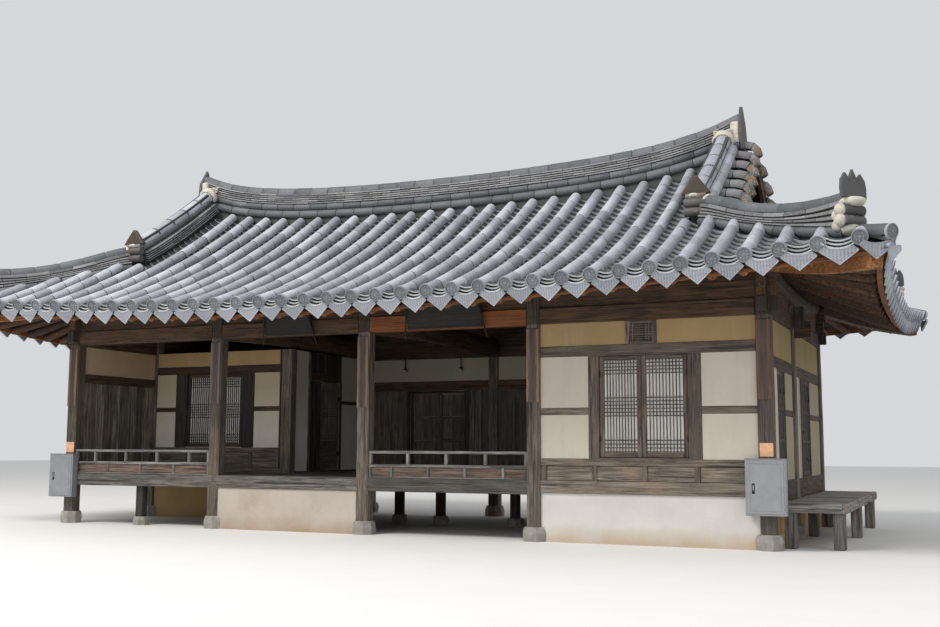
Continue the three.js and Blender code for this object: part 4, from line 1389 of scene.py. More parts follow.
def rafters():
    """Rafters along both slopes, those that fan out at the corners, and the hip rafters."""
    piece = Piece("rafters", RAFTER, SHADED_RAFTER)

    def long_side(x, sy):
        return (x, sy * (eave_y(x) - RAFTER_SETBACK))

    def short_side(sx, y):
        return (sx * (eave_x(y) - RAFTER_SETBACK), y)

    for sy, k in product((-1, 1), LONG_RAFTERS):
        x = k * RAFTER_PITCH
        rafter(piece, long_side(x, sy), (x, sy * 0.06), main_slope)
    for sx in (-1, 1):
        for k in SHORT_RAFTERS:
            y = k * RAFTER_PITCH
            rafter(piece, short_side(sx, y), (sx * (GABLE_X + 0.04), y), side_slope, 1)
        for sy in (-1, 1):
            pivot = (sx * RAFTER_PIVOT[0], sy * RAFTER_PIVOT[1])
            for i in range(5):
                x = sx * (LONG_FAN_START + RAFTER_PITCH * i)
                rafter(piece, long_side(x, sy), pivot, hipped, 0 if sy < 0 or i < 2 else 1)
            for i in range(6):
                y = sy * (SHORT_FAN_START + RAFTER_PITCH * i)
                rafter(piece, short_side(sx, y), pivot, hipped, 1)
            foot = (sx * HIP_RAFTER_FOOT[0], sy * HIP_RAFTER_FOOT[1])
            hip_rafter(piece, foot, pivot, 0 if sy < 0 else 1)
    return piece.make(slot="timber")


def verge_boards():
    """Boards along the verges."""
    piece = Piece("verge_boards", DARK_Y)
    for sx, sy in product((-1, 1), repeat=2):
        rings = []
        for i, y in enumerate(evenly(0, 1.80, 20)):
            top = main_slope(VERGE_X, y) - 0.10
            low = main_slope(VERGE_X, y) - (0.36 - 0.05 * i / 20)
            section = ((VERGE_X - 0.045, top), (VERGE_X, top), (VERGE_X, low), (VERGE_X - 0.045, low))
            rings.append([Vector((sx * x, sy * y, z)) for x, z in section])
        piece.tube(rings, None, smooth=False)
    return piece.make(slot="dark_timber")


# Timber frame


def stick(piece, x, y, z, dark=False, tone=None, bevel=0.006):
    """A squared timber whose grain follows its longest side."""
    lengths = [span[1] - span[0] for span in (x, y, z)]
    along = lengths.index(max(lengths))
    piece.beam(x, y, z, bevel, tone, along + (DARK_X_SLOT if dark else OLD_X_SLOT))


def hewn_post(piece, x, y, low, high, width=COLUMN, slot=OLD_Z_SLOT, tone=None):
    """A squared column with worn corners, not quite true along its height."""
    tone = rng.random() if tone is None else tone
    rings = []
    for z in evenly(low, high, 10):
        half = width / 2 + rng.uniform(-0.0025, 0.001)
        cut = half - 0.014 + jitter(0.003)
        dx, dy = jitter(0.002), jitter(0.002)
        plan = [(half, -cut), (half, cut)]
        for _ in range(3):
            plan += [(-py, px) for px, py in plan[-2:]]
        rings.append([Vector((x + dx + px, y + dy + py, z)) for px, py in plan])
    piece.tube(rings, tone, smooth=False, slot=slot)


def base_stone(piece, x, y, top=0.17, width=0.29):
    """A rough squared stone under a column."""
    rings = []
    for share, scale in STONE_PROFILE:
        ring = []
        for c, s in arc(22.5, 382.5, 8)[:-1]:
            reach = width / 2 * scale * 1.06 + jitter(0.008)
            ring.append(Vector((x + reach * c, y + reach * s, top * share)))
        rings.append(ring)
    piece.tube(rings, rng.random(), smooth=False, slot=STONE_SLOT)


def column(piece, x, y, tone=None):
    """A column in the light, its shaded head between the lintels, and its stone."""
    hewn_post(piece, x, y, 0.1, BEAM_BOTTOM, tone=tone)
    hewn_post(piece, x, y, BEAM_BOTTOM, HEAD_TOP, COLUMN - 0.004, DARK_Z_SLOT)
    base_stone(piece, x, y)


def columns():
    piece = Piece("columns", *TIMBERS)
    for x, tone in zip(COLUMN_X, COLUMN_TONES):
        column(piece, x, FRONT_Y, tone)
    hewn_post(piece, COLUMN_X[1], MIDDLE_Y, 0.1, BEAM_BOTTOM, tone=0.0)
    base_stone(piece, COLUMN_X[1], MIDDLE_Y)
    nodes = [f"front_column_{i + 1}" for i in range(5)]
    return piece.make(slot="timber", replaces=nodes + ["hall_middle_column"])


def under_roof(piece, reach, line, run, section, tone, smooth, slot, steps=30):
    """A member along X or Y whose section hangs from the roof surface above it."""
    rings = []
    for u in evenly(*reach, steps):
        x, y = (u, line) if run == "x" else (line, u)
        ring = []
        for side, z in section(hipped(x, y)):
            place = (x, y + side) if run == "x" else (x + side, y)
            ring.append(Vector((*place, z)))
        rings.append(ring)
    piece.tube(rings, tone, smooth, slot)


def purlin_and_bearer(piece, edge, line, run):
    """A round purlin, and the narrow beam that carries it from the lintel."""
    slot = DARK_X_SLOT if run == "x" else DARK_Y_SLOT

    def bearer(roof):
        top = roof - PURLIN_DROP - PURLIN_RADIUS * 0.8
        return ((-0.05, LINTEL_TOP), (0.05, LINTEL_TOP), (0.05, top), (-0.05, top))

    def purlin(roof):
        return [(PURLIN_RADIUS * c, roof - PURLIN_DROP + PURLIN_RADIUS * s) for c, s in circle(14)]

    end = edge + BEAM_END * 0.7
    under_roof(piece, (-end, end), line, run, bearer, None, False, slot, 24)
    end = edge + BEAM_END
    under_roof(piece, (-end, end), line, run, purlin, None, True, slot)


def long_side_beams(side):
    """Lintels, purlin and column heads of the front (-1) or rear (1) side."""
    front = side < 0
    piece = Piece("front_lintels" if front else "rear_frame_timbers", *TIMBERS)
    y = FRONT_Y if front else REAR_Y
    edge = COLUMN_X[4] + HALF_COLUMN
    for i in range(4):
        x = bay(i)
        if front and i == 2:
            piece.beam(x, around(y - 0.004, LINTEL), (BEAM_BOTTOM, LINTEL_TOP), slot=NEW_SLOT)
        else:
            stick(piece, x, around(y, LINTEL), (BEAM_BOTTOM, LINTEL_TOP), True)
    for sx in (-1, 1):
        x = ordered(sx * (edge - 0.01), sx * (edge + BEAM_END))
        stick(piece, x, around(y, 0.11), (BEAM_BOTTOM + 0.03, LINTEL_TOP), True)
    purlin_and_bearer(piece, edge, y, "x")
    if not front:
        for x in COLUMN_X:
            column(piece, x, y)
    return piece.make(slot="timber", replaces=["front_beam" if front else "rear_frame"])


def short_side_beams(side):
    """Lintels, purlin, middle column and beam ends of the left (-1) or right (1) side."""
    name = "left_frame" if side < 0 else "right_frame"
    piece = Piece(f"{name}_timbers", *TIMBERS)
    x = side * COLUMN_X[4]
    edge = REAR_Y + HALF_COLUMN
    for span in (FRONT_SPAN, REAR_SPAN):
        stick(piece, around(x, LINTEL), span, (BEAM_BOTTOM - 0.02, LINTEL_TOP), True)
    for sy in (-1, 1):
        y = ordered(sy * (edge - 0.01), sy * (edge + BEAM_END))
        stick(piece, around(x, 0.11), y, (BEAM_BOTTOM + 0.04, LINTEL_TOP + 0.01), True)
    purlin_and_bearer(piece, edge, x, "y")
    hewn_post(piece, x, MIDDLE_Y, 0.1, LINTEL_TOP + 0.1)
    base_stone(piece, x, MIDDLE_Y)
    face = abs(x) + HALF_COLUMN
    for reach, width, z in TIE_BEAM_ENDS:
        span = ordered(side * (face - 0.05), side * (face + reach))
        stick(piece, span, around(MIDDLE_Y, width), z, True)
    return piece.make(slot="timber", replaces=[name])


def outer_rafter_plaster():
    """Plaster between the rafters, above the purlins."""
    piece = Piece("rafter_plaster", PLASTER)

    def section(roof):
        low, high = roof - PURLIN_DROP, roof - 0.15
        return ((-0.03, low), (0.03, low), (0.03, high), (-0.03, high))

    long_sides = (5.0, (FRONT_Y, REAR_Y), "x")
    short_sides = (2.12, (COLUMN_X[0], COLUMN_X[4]), "y")
    for reach, lines, run in (long_sides, short_sides):
        for line in lines:
            under_roof(piece, (-reach, reach), line, run, section, 0.5, False, 0)
    return piece.make(slot="plaster")


def hall_beams():
    """Bowed cross beams with their king posts, and the ridge purlin."""
    piece = Piece("hall_beams", *TIMBERS)
    half = HALL_BEAM_LENGTH / 2
    for x in COLUMN_X[1:4]:
        rings = []
        for y in evenly(-half, half, 16):
            middle = HALL_BEAM_LEVEL + HALL_BEAM_BOW * math.cos(math.pi * (y / HALL_BEAM_LENGTH))
            ring = []
            for c, s in circle(12):
                reach = HALL_BEAM_HALF_WIDTH * abs(c) ** 0.7
                aside = math.copysign(reach, c) if abs(c) > 0.01 else 0.0
                ring.append(Vector((x + aside, y, middle + HALL_BEAM_HALF_HEIGHT * s)))
            rings.append(ring)
        piece.tube(rings, None, slot=DARK_Y_SLOT)
        for width, depth, z in KING_POSTS:
            stick(piece, around(x, width), around(0, depth), z, True)
    top = ridge_height(0) - RIDGE_PURLIN_DROP
    ends = [(side * RIDGE_PURLIN_REACH, 0, top) for side in (-1, 1)]
    round_bar(piece, *ends, RIDGE_PURLIN_RADIUS, DARK_X_SLOT, tone=0.4, steps=14)
    nodes = [f"cross_beam_{i + 1}" for i in range(3)] + ["ridge_purlin"]
    return piece.make(slot="dark_timber", replaces=nodes)


# Walls


class Wall:
    """Sets timbers on a wall by their reach along it, their height and their depth outward."""

    def __init__(self, piece, run, line, out=1, dark=False):
        self.piece, self.run, self.line, self.out, self.dark = piece, run, line, out, dark

    def spans(self, u, depth):
        across = ordered(self.line + self.out * depth[0], self.line + self.out * depth[1])
        return (u, across) if self.run == "x" else (across, u)

    def add(self, u, z, proud=MEMBER_PROUD, depth=None, dark=None, tone=None, slot=None, bevel=0.006):
        x, y = self.spans(u, depth or (-proud, proud))
        if slot is None:
            stick(self.piece, x, y, z, self.dark if dark is None else dark, tone, bevel)
        else:
            self.piece.beam(x, y, z, bevel, tone, slot)

    def posts(self, spans, z, proud=MEMBER_PROUD, **look):
        for u in spans:
            self.add(u, z, proud, **look)

    def rails(self, u, levels, proud=MEMBER_PROUD, **look):
        for z in levels:
            self.add(u, z, proud, **look)

    def planks(self, u, z, depth=(-BOARD_PROUD, BOARD_PROUD), width=0.22, dark_share=1.0, turns=None):
        """Upright boards side by side, each its own width, shade and set."""
        start = u[0]
        count = 0
        while start < u[1] - 0.01:
            wide = width * rng.uniform(0.75, 1.25)
            if u[1] - start - wide < 0.09:
                wide = u[1] - start
            back = rng.uniform(0.0, 0.005)
            dark = rng.random() < dark_share
            tone = rng.random()
            if turns:
                tone = turns[count % len(turns)]
            board = (start + BOARD_GAP, start + wide - BOARD_GAP)
            inset = (depth[0] + back, depth[1] - back)
            self.add(board, z, depth=inset, dark=dark, tone=tone, bevel=0.003)
            start += wide
            count += 1

    def panels(self, u, z, stiles, width=0.062):
        """Low boarded panels between short stiles, with thin dark strips of painted shadow under the
        upper rail, at the foot and beside each stile.
        """
        # Thin dark strips: painted shadow where the panel meets rail and stile
        joint = {"proud": BOARD_PROUD + 0.0015, "dark": True, "tone": 1.0, "bevel": 0.0005}
        self.add(u, (z[0] - 0.01, z[1] + 0.01), BOARD_PROUD)
        self.add(u, (z[1] - PANEL_SHADOW_LINE, z[1] + 0.003), **joint)
        self.add(u, (z[0] - 0.003, z[0] + PANEL_SHADOW_LINE * 0.6), **joint)
        for centre in stiles:
            edge = centre + width / 2
            self.add(around(centre, width), z, FRAME_PROUD)
            self.add((edge - 0.003, edge + PANEL_SHADOW_LINE * 0.8), z, **joint)


def lattice_leaf(wall, u, z, depth, rows=LATTICE_ROWS, panel=0.0, dark=False):
    """A papered lattice leaf: frame, thin bars in three bands, and a low panel where asked."""
    back, front = depth
    inner = shrunk(u, LATTICE_FRAME)
    foot = z[0] + LATTICE_FRAME
    low, high = foot + panel, z[1] - LATTICE_FRAME
    wall.posts(both_ends(u, LATTICE_FRAME), z, depth=depth, dark=dark)
    wall.rails(inner, both_ends(z, LATTICE_FRAME), depth=depth, dark=dark)
    if panel:
        wall.add(inner, (foot, low - LATTICE_FRAME), depth=(back + 0.012, front - 0.014), dark=dark)
        wall.add(inner, (low - LATTICE_FRAME, low), depth=depth, dark=dark)
    bar = {"depth": (front - 0.024, front - 0.008), "dark": dark, "bevel": 0.002}
    for centre in evenly(*inner, LATTICE_COLUMNS + 1)[1:-1]:
        wall.add(around(centre, LATTICE_BAR), (low, high), **bar)
    for share in rows:
        level = z[1] - (z[1] - low + LATTICE_FRAME) * share
        if low + 0.01 < level < high:
            wall.add(inner, around(level, LATTICE_BAR), **bar)
    paper = (front - 0.030, front - 0.026)
    wall.add(inner, (low, high), depth=paper, slot=PAPER_SLOT, tone=0.5, bevel=0.001)


def vent(wall, u, z):
    """A small framed grille under the lintel."""
    inner, opening = shrunk(u, 0.06), shrunk(z, 0.03)
    wall.posts(both_ends(u, 0.06), z, depth=(0.0, FRAME_PROUD))
    wall.rails(inner, both_ends(z, 0.035), depth=(0.0, FRAME_PROUD))
    wall.add(inner, z, depth=(0.0, 0.053), dark=True)
    for centre in evenly(*inner, 8)[1:-1]:
        wall.add(around(centre, 0.009), opening, depth=(0.05, 0.061), bevel=0.002)
    for level in evenly(*opening, 8)[1:-1]:
        wall.add(inner, around(level, 0.009), depth=(0.05, 0.0605), bevel=0.002)


def room_2_front():
    """Framing of the right room's front wall, its vent and its window."""
    piece = Piece("room_2_front_timbers", *TIMBERS)
    wall = Wall(piece, "x", FRONT_Y, -1)
    span = bay(3)
    posts = WINDOW_2_POSTS
    wall.add(span, (SILL_BOTTOM, SILL_TOP), SILL_PROUD)
    wall.panels(span, (SILL_TOP, 0.905), PANEL_2_STILES)
    wall.add(span, (0.902, 0.985), FRAME_PROUD)
    wall.posts(posts, (0.985, 2.20))
    wall.add((posts[0][1], posts[1][0]), (0.978, 0.998), SILL_PROUD)
    wall.add(span, HEAD_RAIL)
    wall.posts(outside(span, posts), MIDDLE_RAIL, RAIL_PROUD)
    vent(wall, VENT, (HEAD_RAIL[1], BEAM_BOTTOM))
    piece.make(slot="timber")

    sash = Piece("room_2_window_leaves", SASH_X, OLD_Y, SASH_Z, *TIMBERS[3:])
    wall = Wall(sash, "x", FRONT_Y, -1)
    for leaf in WINDOW_2_LEAVES:
        lattice_leaf(wall, leaf, WINDOW_2_HEIGHT, LEAF_DEPTH)
    wall.add((3.0, 4.30), (0.995, 2.19), depth=LEAF_BACKING, dark=True, bevel=0.0005)
    for x, z in product((3.109, 4.151), (1.22, 1.98)):
        wall.add(around(x, 0.016), around(z, 0.075), depth=(0.03, 0.049), slot=IRON_SLOT, bevel=0.004)
    return sash.make(slot="paper_lattice", replaces=["room_2_window"])


def room_1_front():
    """Framing of the left room's wall on the veranda, and its window."""
    piece = Piece("room_1_front_timbers", *TIMBERS)
    wall = Wall(piece, "x", MIDDLE_Y, -1)
    span = bay(0)
    posts = WINDOW_1_POSTS
    wall.add(span, (0.66, 0.795), SILL_PROUD)
    wall.panels(span, (0.795, 1.035), PANEL_1_STILES)
    wall.add(span, (1.030, 1.100), FRAME_PROUD)
    wall.posts(posts, (1.10, 2.26), dark=True)
    wall.add(span, (2.257, 2.380), dark=True)
    wall.posts(outside(span, posts), (1.660, 1.734), RAIL_PROUD, dark=True)
    wall.add((span[1] - 0.045, span[1]), (0.79, BEAM_BOTTOM), HEAVY_PROUD, dark=True)
    piece.make(slot="timber")

    sash = Piece("room_1_window_leaves", *TIMBERS)
    wall = Wall(sash, "x", MIDDLE_Y, -1)
    for leaf in WINDOW_1_LEAVES:
        lattice_leaf(wall, leaf, WINDOW_1_HEIGHT, LEAF_DEPTH, dark=True)
    wall.add((-4.5, -3.1), (1.11, 2.25), depth=LEAF_BACKING, dark=True, bevel=0.0005)
    return sash.make(slot="paper_lattice", replaces=["room_1_window"])


def end_walls():
    """Framing of the two short sides, with the doors' posts on the right."""
    piece = Piece("side_wall_timbers", *TIMBERS)
    right = Wall(piece, "y", COLUMN_X[4], 1, dark=True)
    for span, door in zip((FRONT_SPAN, REAR_SPAN), SIDE_DOORS):
        right.add(span, (SILL_BOTTOM - 0.07, SIDE_SILL_TOP), SILL_PROUD)
        right.add(span, SIDE_HEAD_RAIL)
        jambs = ((door[0] - 0.06, door[0] - 0.001), (door[1] + 0.001, door[1] + 0.06))
        right.posts(jambs, (SIDE_SILL_TOP, 2.03))
        right.add((door[1] + 0.06, span[1]), (1.50, 1.575), RAIL_PROUD)
    pale = Piece("side_wall_strips", SIDE_STRIP)
    strip = Wall(pale, "y", COLUMN_X[4], 1)
    strips = ((FRONT_SPAN[0], -1.869), (REAR_SPAN[0], -0.20))
    strip.posts(strips, (0.742, 2.02), depth=(0.03, 0.083), slot=0, bevel=0.004)
    pale.make(slot="plaster")
    left = Wall(piece, "y", COLUMN_X[0], -1)
    left.add(REAR_SPAN, (SILL_BOTTOM, SIDE_SILL_TOP), SILL_PROUD)
    left.add(REAR_SPAN, SIDE_HEAD_RAIL)
    left.add(REAR_SPAN, (1.45, 1.53), RAIL_PROUD)
    left.add(around(0.88, 0.10), (SIDE_SILL_TOP, BEAM_BOTTOM), POST_PROUD)
    inner = Wall(piece, "y", COLUMN_X[3], -1)
    whole = (FRONT_SPAN[0], REAR_SPAN[1])
    inner.add(whole, (0.66, 0.80))
    inner.add(whole, (1.80, 1.87), RAIL_PROUD)
    inner.add(whole, (2.46, BEAM_BOTTOM))
    inner.posts((around(MIDDLE_Y, 0.12), around(0.9, 0.12)), (0.72, BEAM_BOTTOM), POST_PROUD)
    return piece.make(slot="timber")


def rear_walls():
    """Framing of the rooms' rear walls."""
    piece = Piece("rear_wall_timbers", *TIMBERS)
    wall = Wall(piece, "x", REAR_Y, 1)
    for span in (bay(0), bay(3)):
        wall.add(span, (SILL_BOTTOM, SILL_TOP), SILL_PROUD)
        wall.add(span, MIDDLE_RAIL, RAIL_PROUD)
        wall.add(span, HEAD_RAIL)
        wall.add(around(between(span, 0.5), 0.11), (0.72, 2.20), POST_PROUD)
    return piece.make(slot="timber")


def veranda_end():
    """The boarded wall that closes the veranda's left end."""
    piece = Piece("veranda_end_boards", *TIMBERS[:2], END_Z, *TIMBERS[3:])
    wall = Wall(piece, "y", COLUMN_X[0], 1, dark=True)
    boards = (FRONT_SPAN[0] + 0.15, FRONT_SPAN[1] - 0.05)
    height = END_BOARD_HEIGHT
    wall.add(FRONT_SPAN, (FLOOR - FLOOR_BEAM, height[0]), SILL_PROUD)
    # Boards in turns of light and dark, the dark ones partly painted shade between boards
    wall.planks(boards, height, width=0.17, dark_share=0.0, turns=END_BOARD_TONES)
    wall.add(FRONT_SPAN, (height[1], 2.18), HEAVY_PROUD)
    posts = ((FRONT_SPAN[0], boards[0]), (boards[1], FRONT_SPAN[1]))
    wall.posts(posts, height, MEMBER_PROUD + 0.002, dark=False, tone=0.6)
    return piece.make(slot="dark_timber")


def hall_walls():
    """Boarded rear wall of the hall, and the left room's wall beside the hall."""
    piece = Piece("hall_wall_timbers", *TIMBERS)
    back = Wall(piece, "x", REAR_Y, -1, dark=True)
    height = HALL_BACK_HEIGHT
    for i in (1, 2):
        span = bay(i)
        back.add(span, (FLOOR - FLOOR_BEAM, height[0]), SILL_PROUD)
        back.add(span, (height[1], 2.225), HEAVY_PROUD)
        opening = BACK_DOOR if i == 1 else around(between(span, 0.5), 0.09)
        back.planks((span[0], opening[0]), height, dark_share=0.1)
        back.planks((opening[1], span[1]), height, dark_share=0.1)
        if i == 1:
            back.posts(((opening[0], -1.637), (-0.599, opening[1])), height, POST_PROUD)
            back.posts(((-1.64, -1.600), (-0.636, -0.596)), height, depth=DOOR_STOP)
            back.rails((-1.637, -0.599), ((2.020, height[1]), (0.750, 0.785)), depth=DOOR_STOP)
        else:
            back.add(opening, height, POST_PROUD)
    side = Wall(piece, "y", COLUMN_X[1], 1, dark=True)
    height = HALL_SIDE_HEIGHT
    side.add(REAR_SPAN, (0.60, 0.741), SILL_PROUD)
    side.add((0.05, 0.11), (height[0], BEAM_BOTTOM), POST_PROUD, dark=False, tone=0.0)
    side.planks((0.11, 0.34), height, width=0.16, dark_share=0.3)
    side.posts(((0.34, 0.387), (0.999, 1.06)), height, POST_PROUD)
    side.add((0.11, 1.06), (height[1], 2.27))
    side.planks((0.11, 1.06), (2.27, BEAM_BOTTOM))
    side.add((1.06, REAR_SPAN[1]), (1.81, 1.87), RAIL_PROUD)
    return piece.make(slot="dark_timber")


# Doors: each leaf keeps the place of its node and rides with it


class Leaf:
    """A door leaf's reach, height and outer face, and which of its edges carries the hinges."""

    def __init__(self, node, run, hinge_high):
        low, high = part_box(node)
        u, depth = (0, 1) if run == "x" else (1, 0)
        self.z = (low[2], high[2])
        self.face = high[depth] - KNUCKLE_PROUD
        self.reach = (low[u], high[u] - KNUCKLE) if hinge_high else (low[u] + KNUCKLE, high[u])
        self.hinge = self.reach[1] if hinge_high else self.reach[0]
        self.free = self.reach[0] if hinge_high else self.reach[1]
        self.turn = -1 if hinge_high else 1

    def out(self, near, far):
        return (self.face + near, self.face + far)

    def from_hinge(self, near, far):
        return ordered(self.hinge + self.turn * near, self.hinge + self.turn * far)

    def level(self, share):
        return between(self.z, share)

    def pin(self, piece, wall, level):
        """The pin of one hinge, in the knuckle's place."""
        depth = self.face + KNUCKLE_PROUD - PIN_DEPTH
        (x, _), (y, _) = wall.spans((self.hinge, self.hinge), (depth, depth))
        round_bar(piece, (x, y, level - PIN_REACH), (x, y, level + PIN_REACH), HINGE_PIN, IRON_SLOT)


def boarded_leaf(node, run, hinge_high, dark=True):
    """Upright boards held by a frame and two battens, with iron straps and a ring."""
    leaf = Leaf(node, run, hinge_high)
    piece = Piece(f"{node}_boards", *TIMBERS)
    wall = Wall(piece, run, 0.0, 1, dark)
    low, high = leaf.z
    whole = leaf.out(-LEAF_THICKNESS, 0.0)
    inside = shrunk(leaf.reach, LEAF_STILE)
    wall.posts(both_ends(leaf.reach, LEAF_STILE), leaf.z, depth=whole)
    wall.rails(inside, ((low, low + 0.07), (high - 0.06, high)), depth=whole)
    boards = (low + 0.07, high - 0.06)
    wall.planks(inside, boards, shrunk(whole, 0.008), 0.17, 1.0 if dark else 0.0)
    backing = around(between(whole, 0.5), 0.004)
    wall.add(inside, (low + 0.06, high - 0.05), depth=backing, dark=True, bevel=0.0005)
    for share in (0.36, 0.66):
        wall.add(inside, around(leaf.level(share), 0.05), depth=whole)

    iron = {"slot": IRON_SLOT, "bevel": 0.002, "depth": leaf.out(-0.001, 0.004)}
    nail = {"slot": IRON_SLOT, "bevel": 0.003, "depth": leaf.out(0.003, 0.0075)}
    for share in HINGE_PLACES:
        level = leaf.level(share)
        head = leaf.from_hinge(STRAP_LENGTH - 0.01, STRAP_LENGTH + 0.03)
        wall.add(leaf.from_hinge(0, STRAP_LENGTH), around(level, 0.034), **iron)
        wall.add(head, around(level, 0.052), **iron)
        for k in range(3):
            place = leaf.hinge + leaf.turn * (0.03 + 0.045 * k)
            wall.add(around(place, 0.012), around(level, 0.012), **nail)
        leaf.pin(piece, wall, level)
    door_ring(piece, wall, leaf, leaf.free - leaf.turn * 0.07, leaf.level(0.47))
    return piece.make(body=f"{node}_leaf", slot="dark_timber", replaces=[node])


def door_ring(piece, wall, leaf, u, level):
    """An iron ring hanging from a round plate."""
    plate = leaf.out(-0.001, 0.003)
    wall.add(around(u, 0.05), around(level, 0.05), depth=plate, slot=IRON_SLOT, bevel=0.0015)
    rings = []
    for angle in evenly(0, 2 * math.pi, 18):
        ring = []
        for c, s in circle(6):
            reach = RING_RADIUS + RING_WIRE * c
            depth = leaf.face + 0.0075 + RING_WIRE * s
            (x, _), (y, _) = wall.spans((u + reach * math.sin(angle),) * 2, (depth, depth))
            ring.append(Vector((x, y, level - 0.018 + reach * math.cos(angle))))
        rings.append(ring)
    piece.sheet(rings, 0.4, slot=IRON_SLOT, closed=True)


def papered_door():
    """The left room's door to the hall: boards below, lattice above."""
    leaf = Leaf("room_1_door", "y", True)
    piece = Piece("room_1_door_lattice", *TIMBERS[:PAPER_SLOT], OLD_PAPER, *TIMBERS[IRON_SLOT:])
    wall = Wall(piece, "y", 0.0, 1)
    lattice_leaf(wall, leaf.reach, leaf.z, leaf.out(-LEAF_THICKNESS, 0.0), DOOR_ROWS, 0.40)
    for share in HINGE_PLACES:
        level = leaf.level(share)
        plate = {"depth": leaf.out(-0.001, 0.004), "slot": IRON_SLOT, "bevel": 0.002}
        wall.add(leaf.from_hinge(0, 0.05), around(level, 0.07), **plate)
        leaf.pin(piece, wall, level)
    return piece.make(body="room_1_door_leaf", slot="paper_lattice", replaces=["room_1_door"])


def doors():
    boarded_leaf("side_door_front", "y", True)
    boarded_leaf("side_door_rear", "y", True)
    boarded_leaf("back_door_left", "x", False, dark=False)
    boarded_leaf("back_door_right", "x", True, dark=False)
    papered_door()


# Floors, railings and bench


def loose_boards(span, width, spread, narrowest):
    """Board after board across a span, each of its own width."""
    start = span[0]
    while start < span[1] - 0.02:
        wide = width * rng.uniform(*spread)
        if span[1] - start - wide < narrowest:
            wide = span[1] - start
        yield start, start + wide
        start += wide


def boarded_floor(piece, x, y):
    """Edge beams, joists along Y, and short boards along X between the joists."""
    low = FLOOR - FLOOR_BEAM
    for edge in both_ends(y, EDGE_BEAM):
        piece.beam(x, edge, (low, FLOOR), bevel=0.008, slot=GREY_SLOT)
    inner = shrunk(y, EDGE_BEAM)
    lines = shrunk(x, EDGE_BEAM / 2)
    count = round((lines[1] - lines[0]) / JOIST_PITCH)
    joists = []
    for i, line in enumerate(evenly(*lines, count)):
        joists.append(around(line, EDGE_BEAM if i in (0, count) else JOIST))
        piece.beam(joists[-1], inner, (low + 0.02, FLOOR - 0.001), bevel=0.005, slot=GREY_Y_SLOT)
    for left, right in zip(joists, joists[1:]):
        along = (left[1], right[0])
        for start, end in loose_boards(inner, 0.27, (0.8, 1.2), 0.1):
            top = FLOOR - 0.002 - rng.uniform(0.0, 0.004)
            board = (start + BOARD_GAP, end - BOARD_GAP)
            piece.beam(along, board, (top - BOARD_THICKNESS, top), bevel=0.004, slot=GREY_SLOT)


def floor_post(piece, x, y):
    height = (0.10, FLOOR - FLOOR_BEAM + 0.03)
    piece.beam(around(x, FLOOR_POST), around(y, FLOOR_POST), height, bevel=0.01, slot=DARK_Z_SLOT)
    base_stone(piece, x, y, 0.12, FLOOR_POST + 0.10)


def floors():
    inside = HALF_WALL + 0.001
    low = FLOOR - FLOOR_BEAM
    veranda = Piece("veranda_floor_boards", *TIMBERS, GREY_X, GREY_Y)
    boarded_floor(veranda, (COLUMN_X[0] + inside, COLUMN_X[1]), (FRONT_FACE, MIDDLE_Y - inside))
    floor_post(veranda, VERANDA_POST, FRONT_Y + 0.06)
    veranda.make(slot="timber", replaces=["veranda_floor"])

    hall = Piece("hall_floor_boards", *TIMBERS, GREY_X, GREY_Y)
    depth = (FRONT_FACE, REAR_Y - inside)
    boarded_floor(hall, (COLUMN_X[1] + inside, COLUMN_X[2]), depth)
    boarded_floor(hall, (COLUMN_X[2], COLUMN_X[3] - inside), depth)
    beam = (COLUMN_X[1], COLUMN_X[1] + 0.06)
    hall.beam(beam, (FRONT_FACE, MIDDLE_Y - inside), (low, FLOOR), slot=GREY_Y_SLOT)
    for x in HALL_POSTS:
        floor_post(hall, x, 0.0)
    step = around(depth[1] - 0.08, 0.12)
    hall.beam(around(0.81, 0.37), step, (0.0, low + 0.03), bevel=0.02, slot=STONE_SLOT)
    return hall.make(slot="timber", replaces=["hall_floor"])


def railing(name, index, posts_at, stiles_at):
    """Top rail on short posts, middle rail, and boarded panels with offset stiles."""
    piece = Piece(f"{name}_timbers", RAIL_X, OLD_Y, RAIL_Z, PANEL_X)
    span = bay(index)
    stick(piece, span, around(RAIL_LINE, 0.058), (1.030, 1.066), bevel=0.010)
    stick(piece, span, around(RAIL_LINE, 0.056), (0.860, 0.894))
    stick(piece, span, around(RAIL_LINE, 0.060), (FLOOR, 0.737))
    piece.beam(span, around(RAIL_LINE + 0.004, 0.022), (0.73, 0.865), bevel=0.002, slot=3)
    for share in (0.0, *posts_at, 1.0):
        x = between(shrunk(span, 0.022), share)
        stick(piece, around(x, 0.040), around(RAIL_LINE, 0.044), (0.892, 1.032))
    for share in (0.0, *stiles_at, 1.0):
        x = between(shrunk(span, 0.018), share)
        stick(piece, around(x, 0.036), around(RAIL_LINE - 0.008, 0.036), (0.735, 0.862))
    return piece.make(slot="timber", replaces=[name])


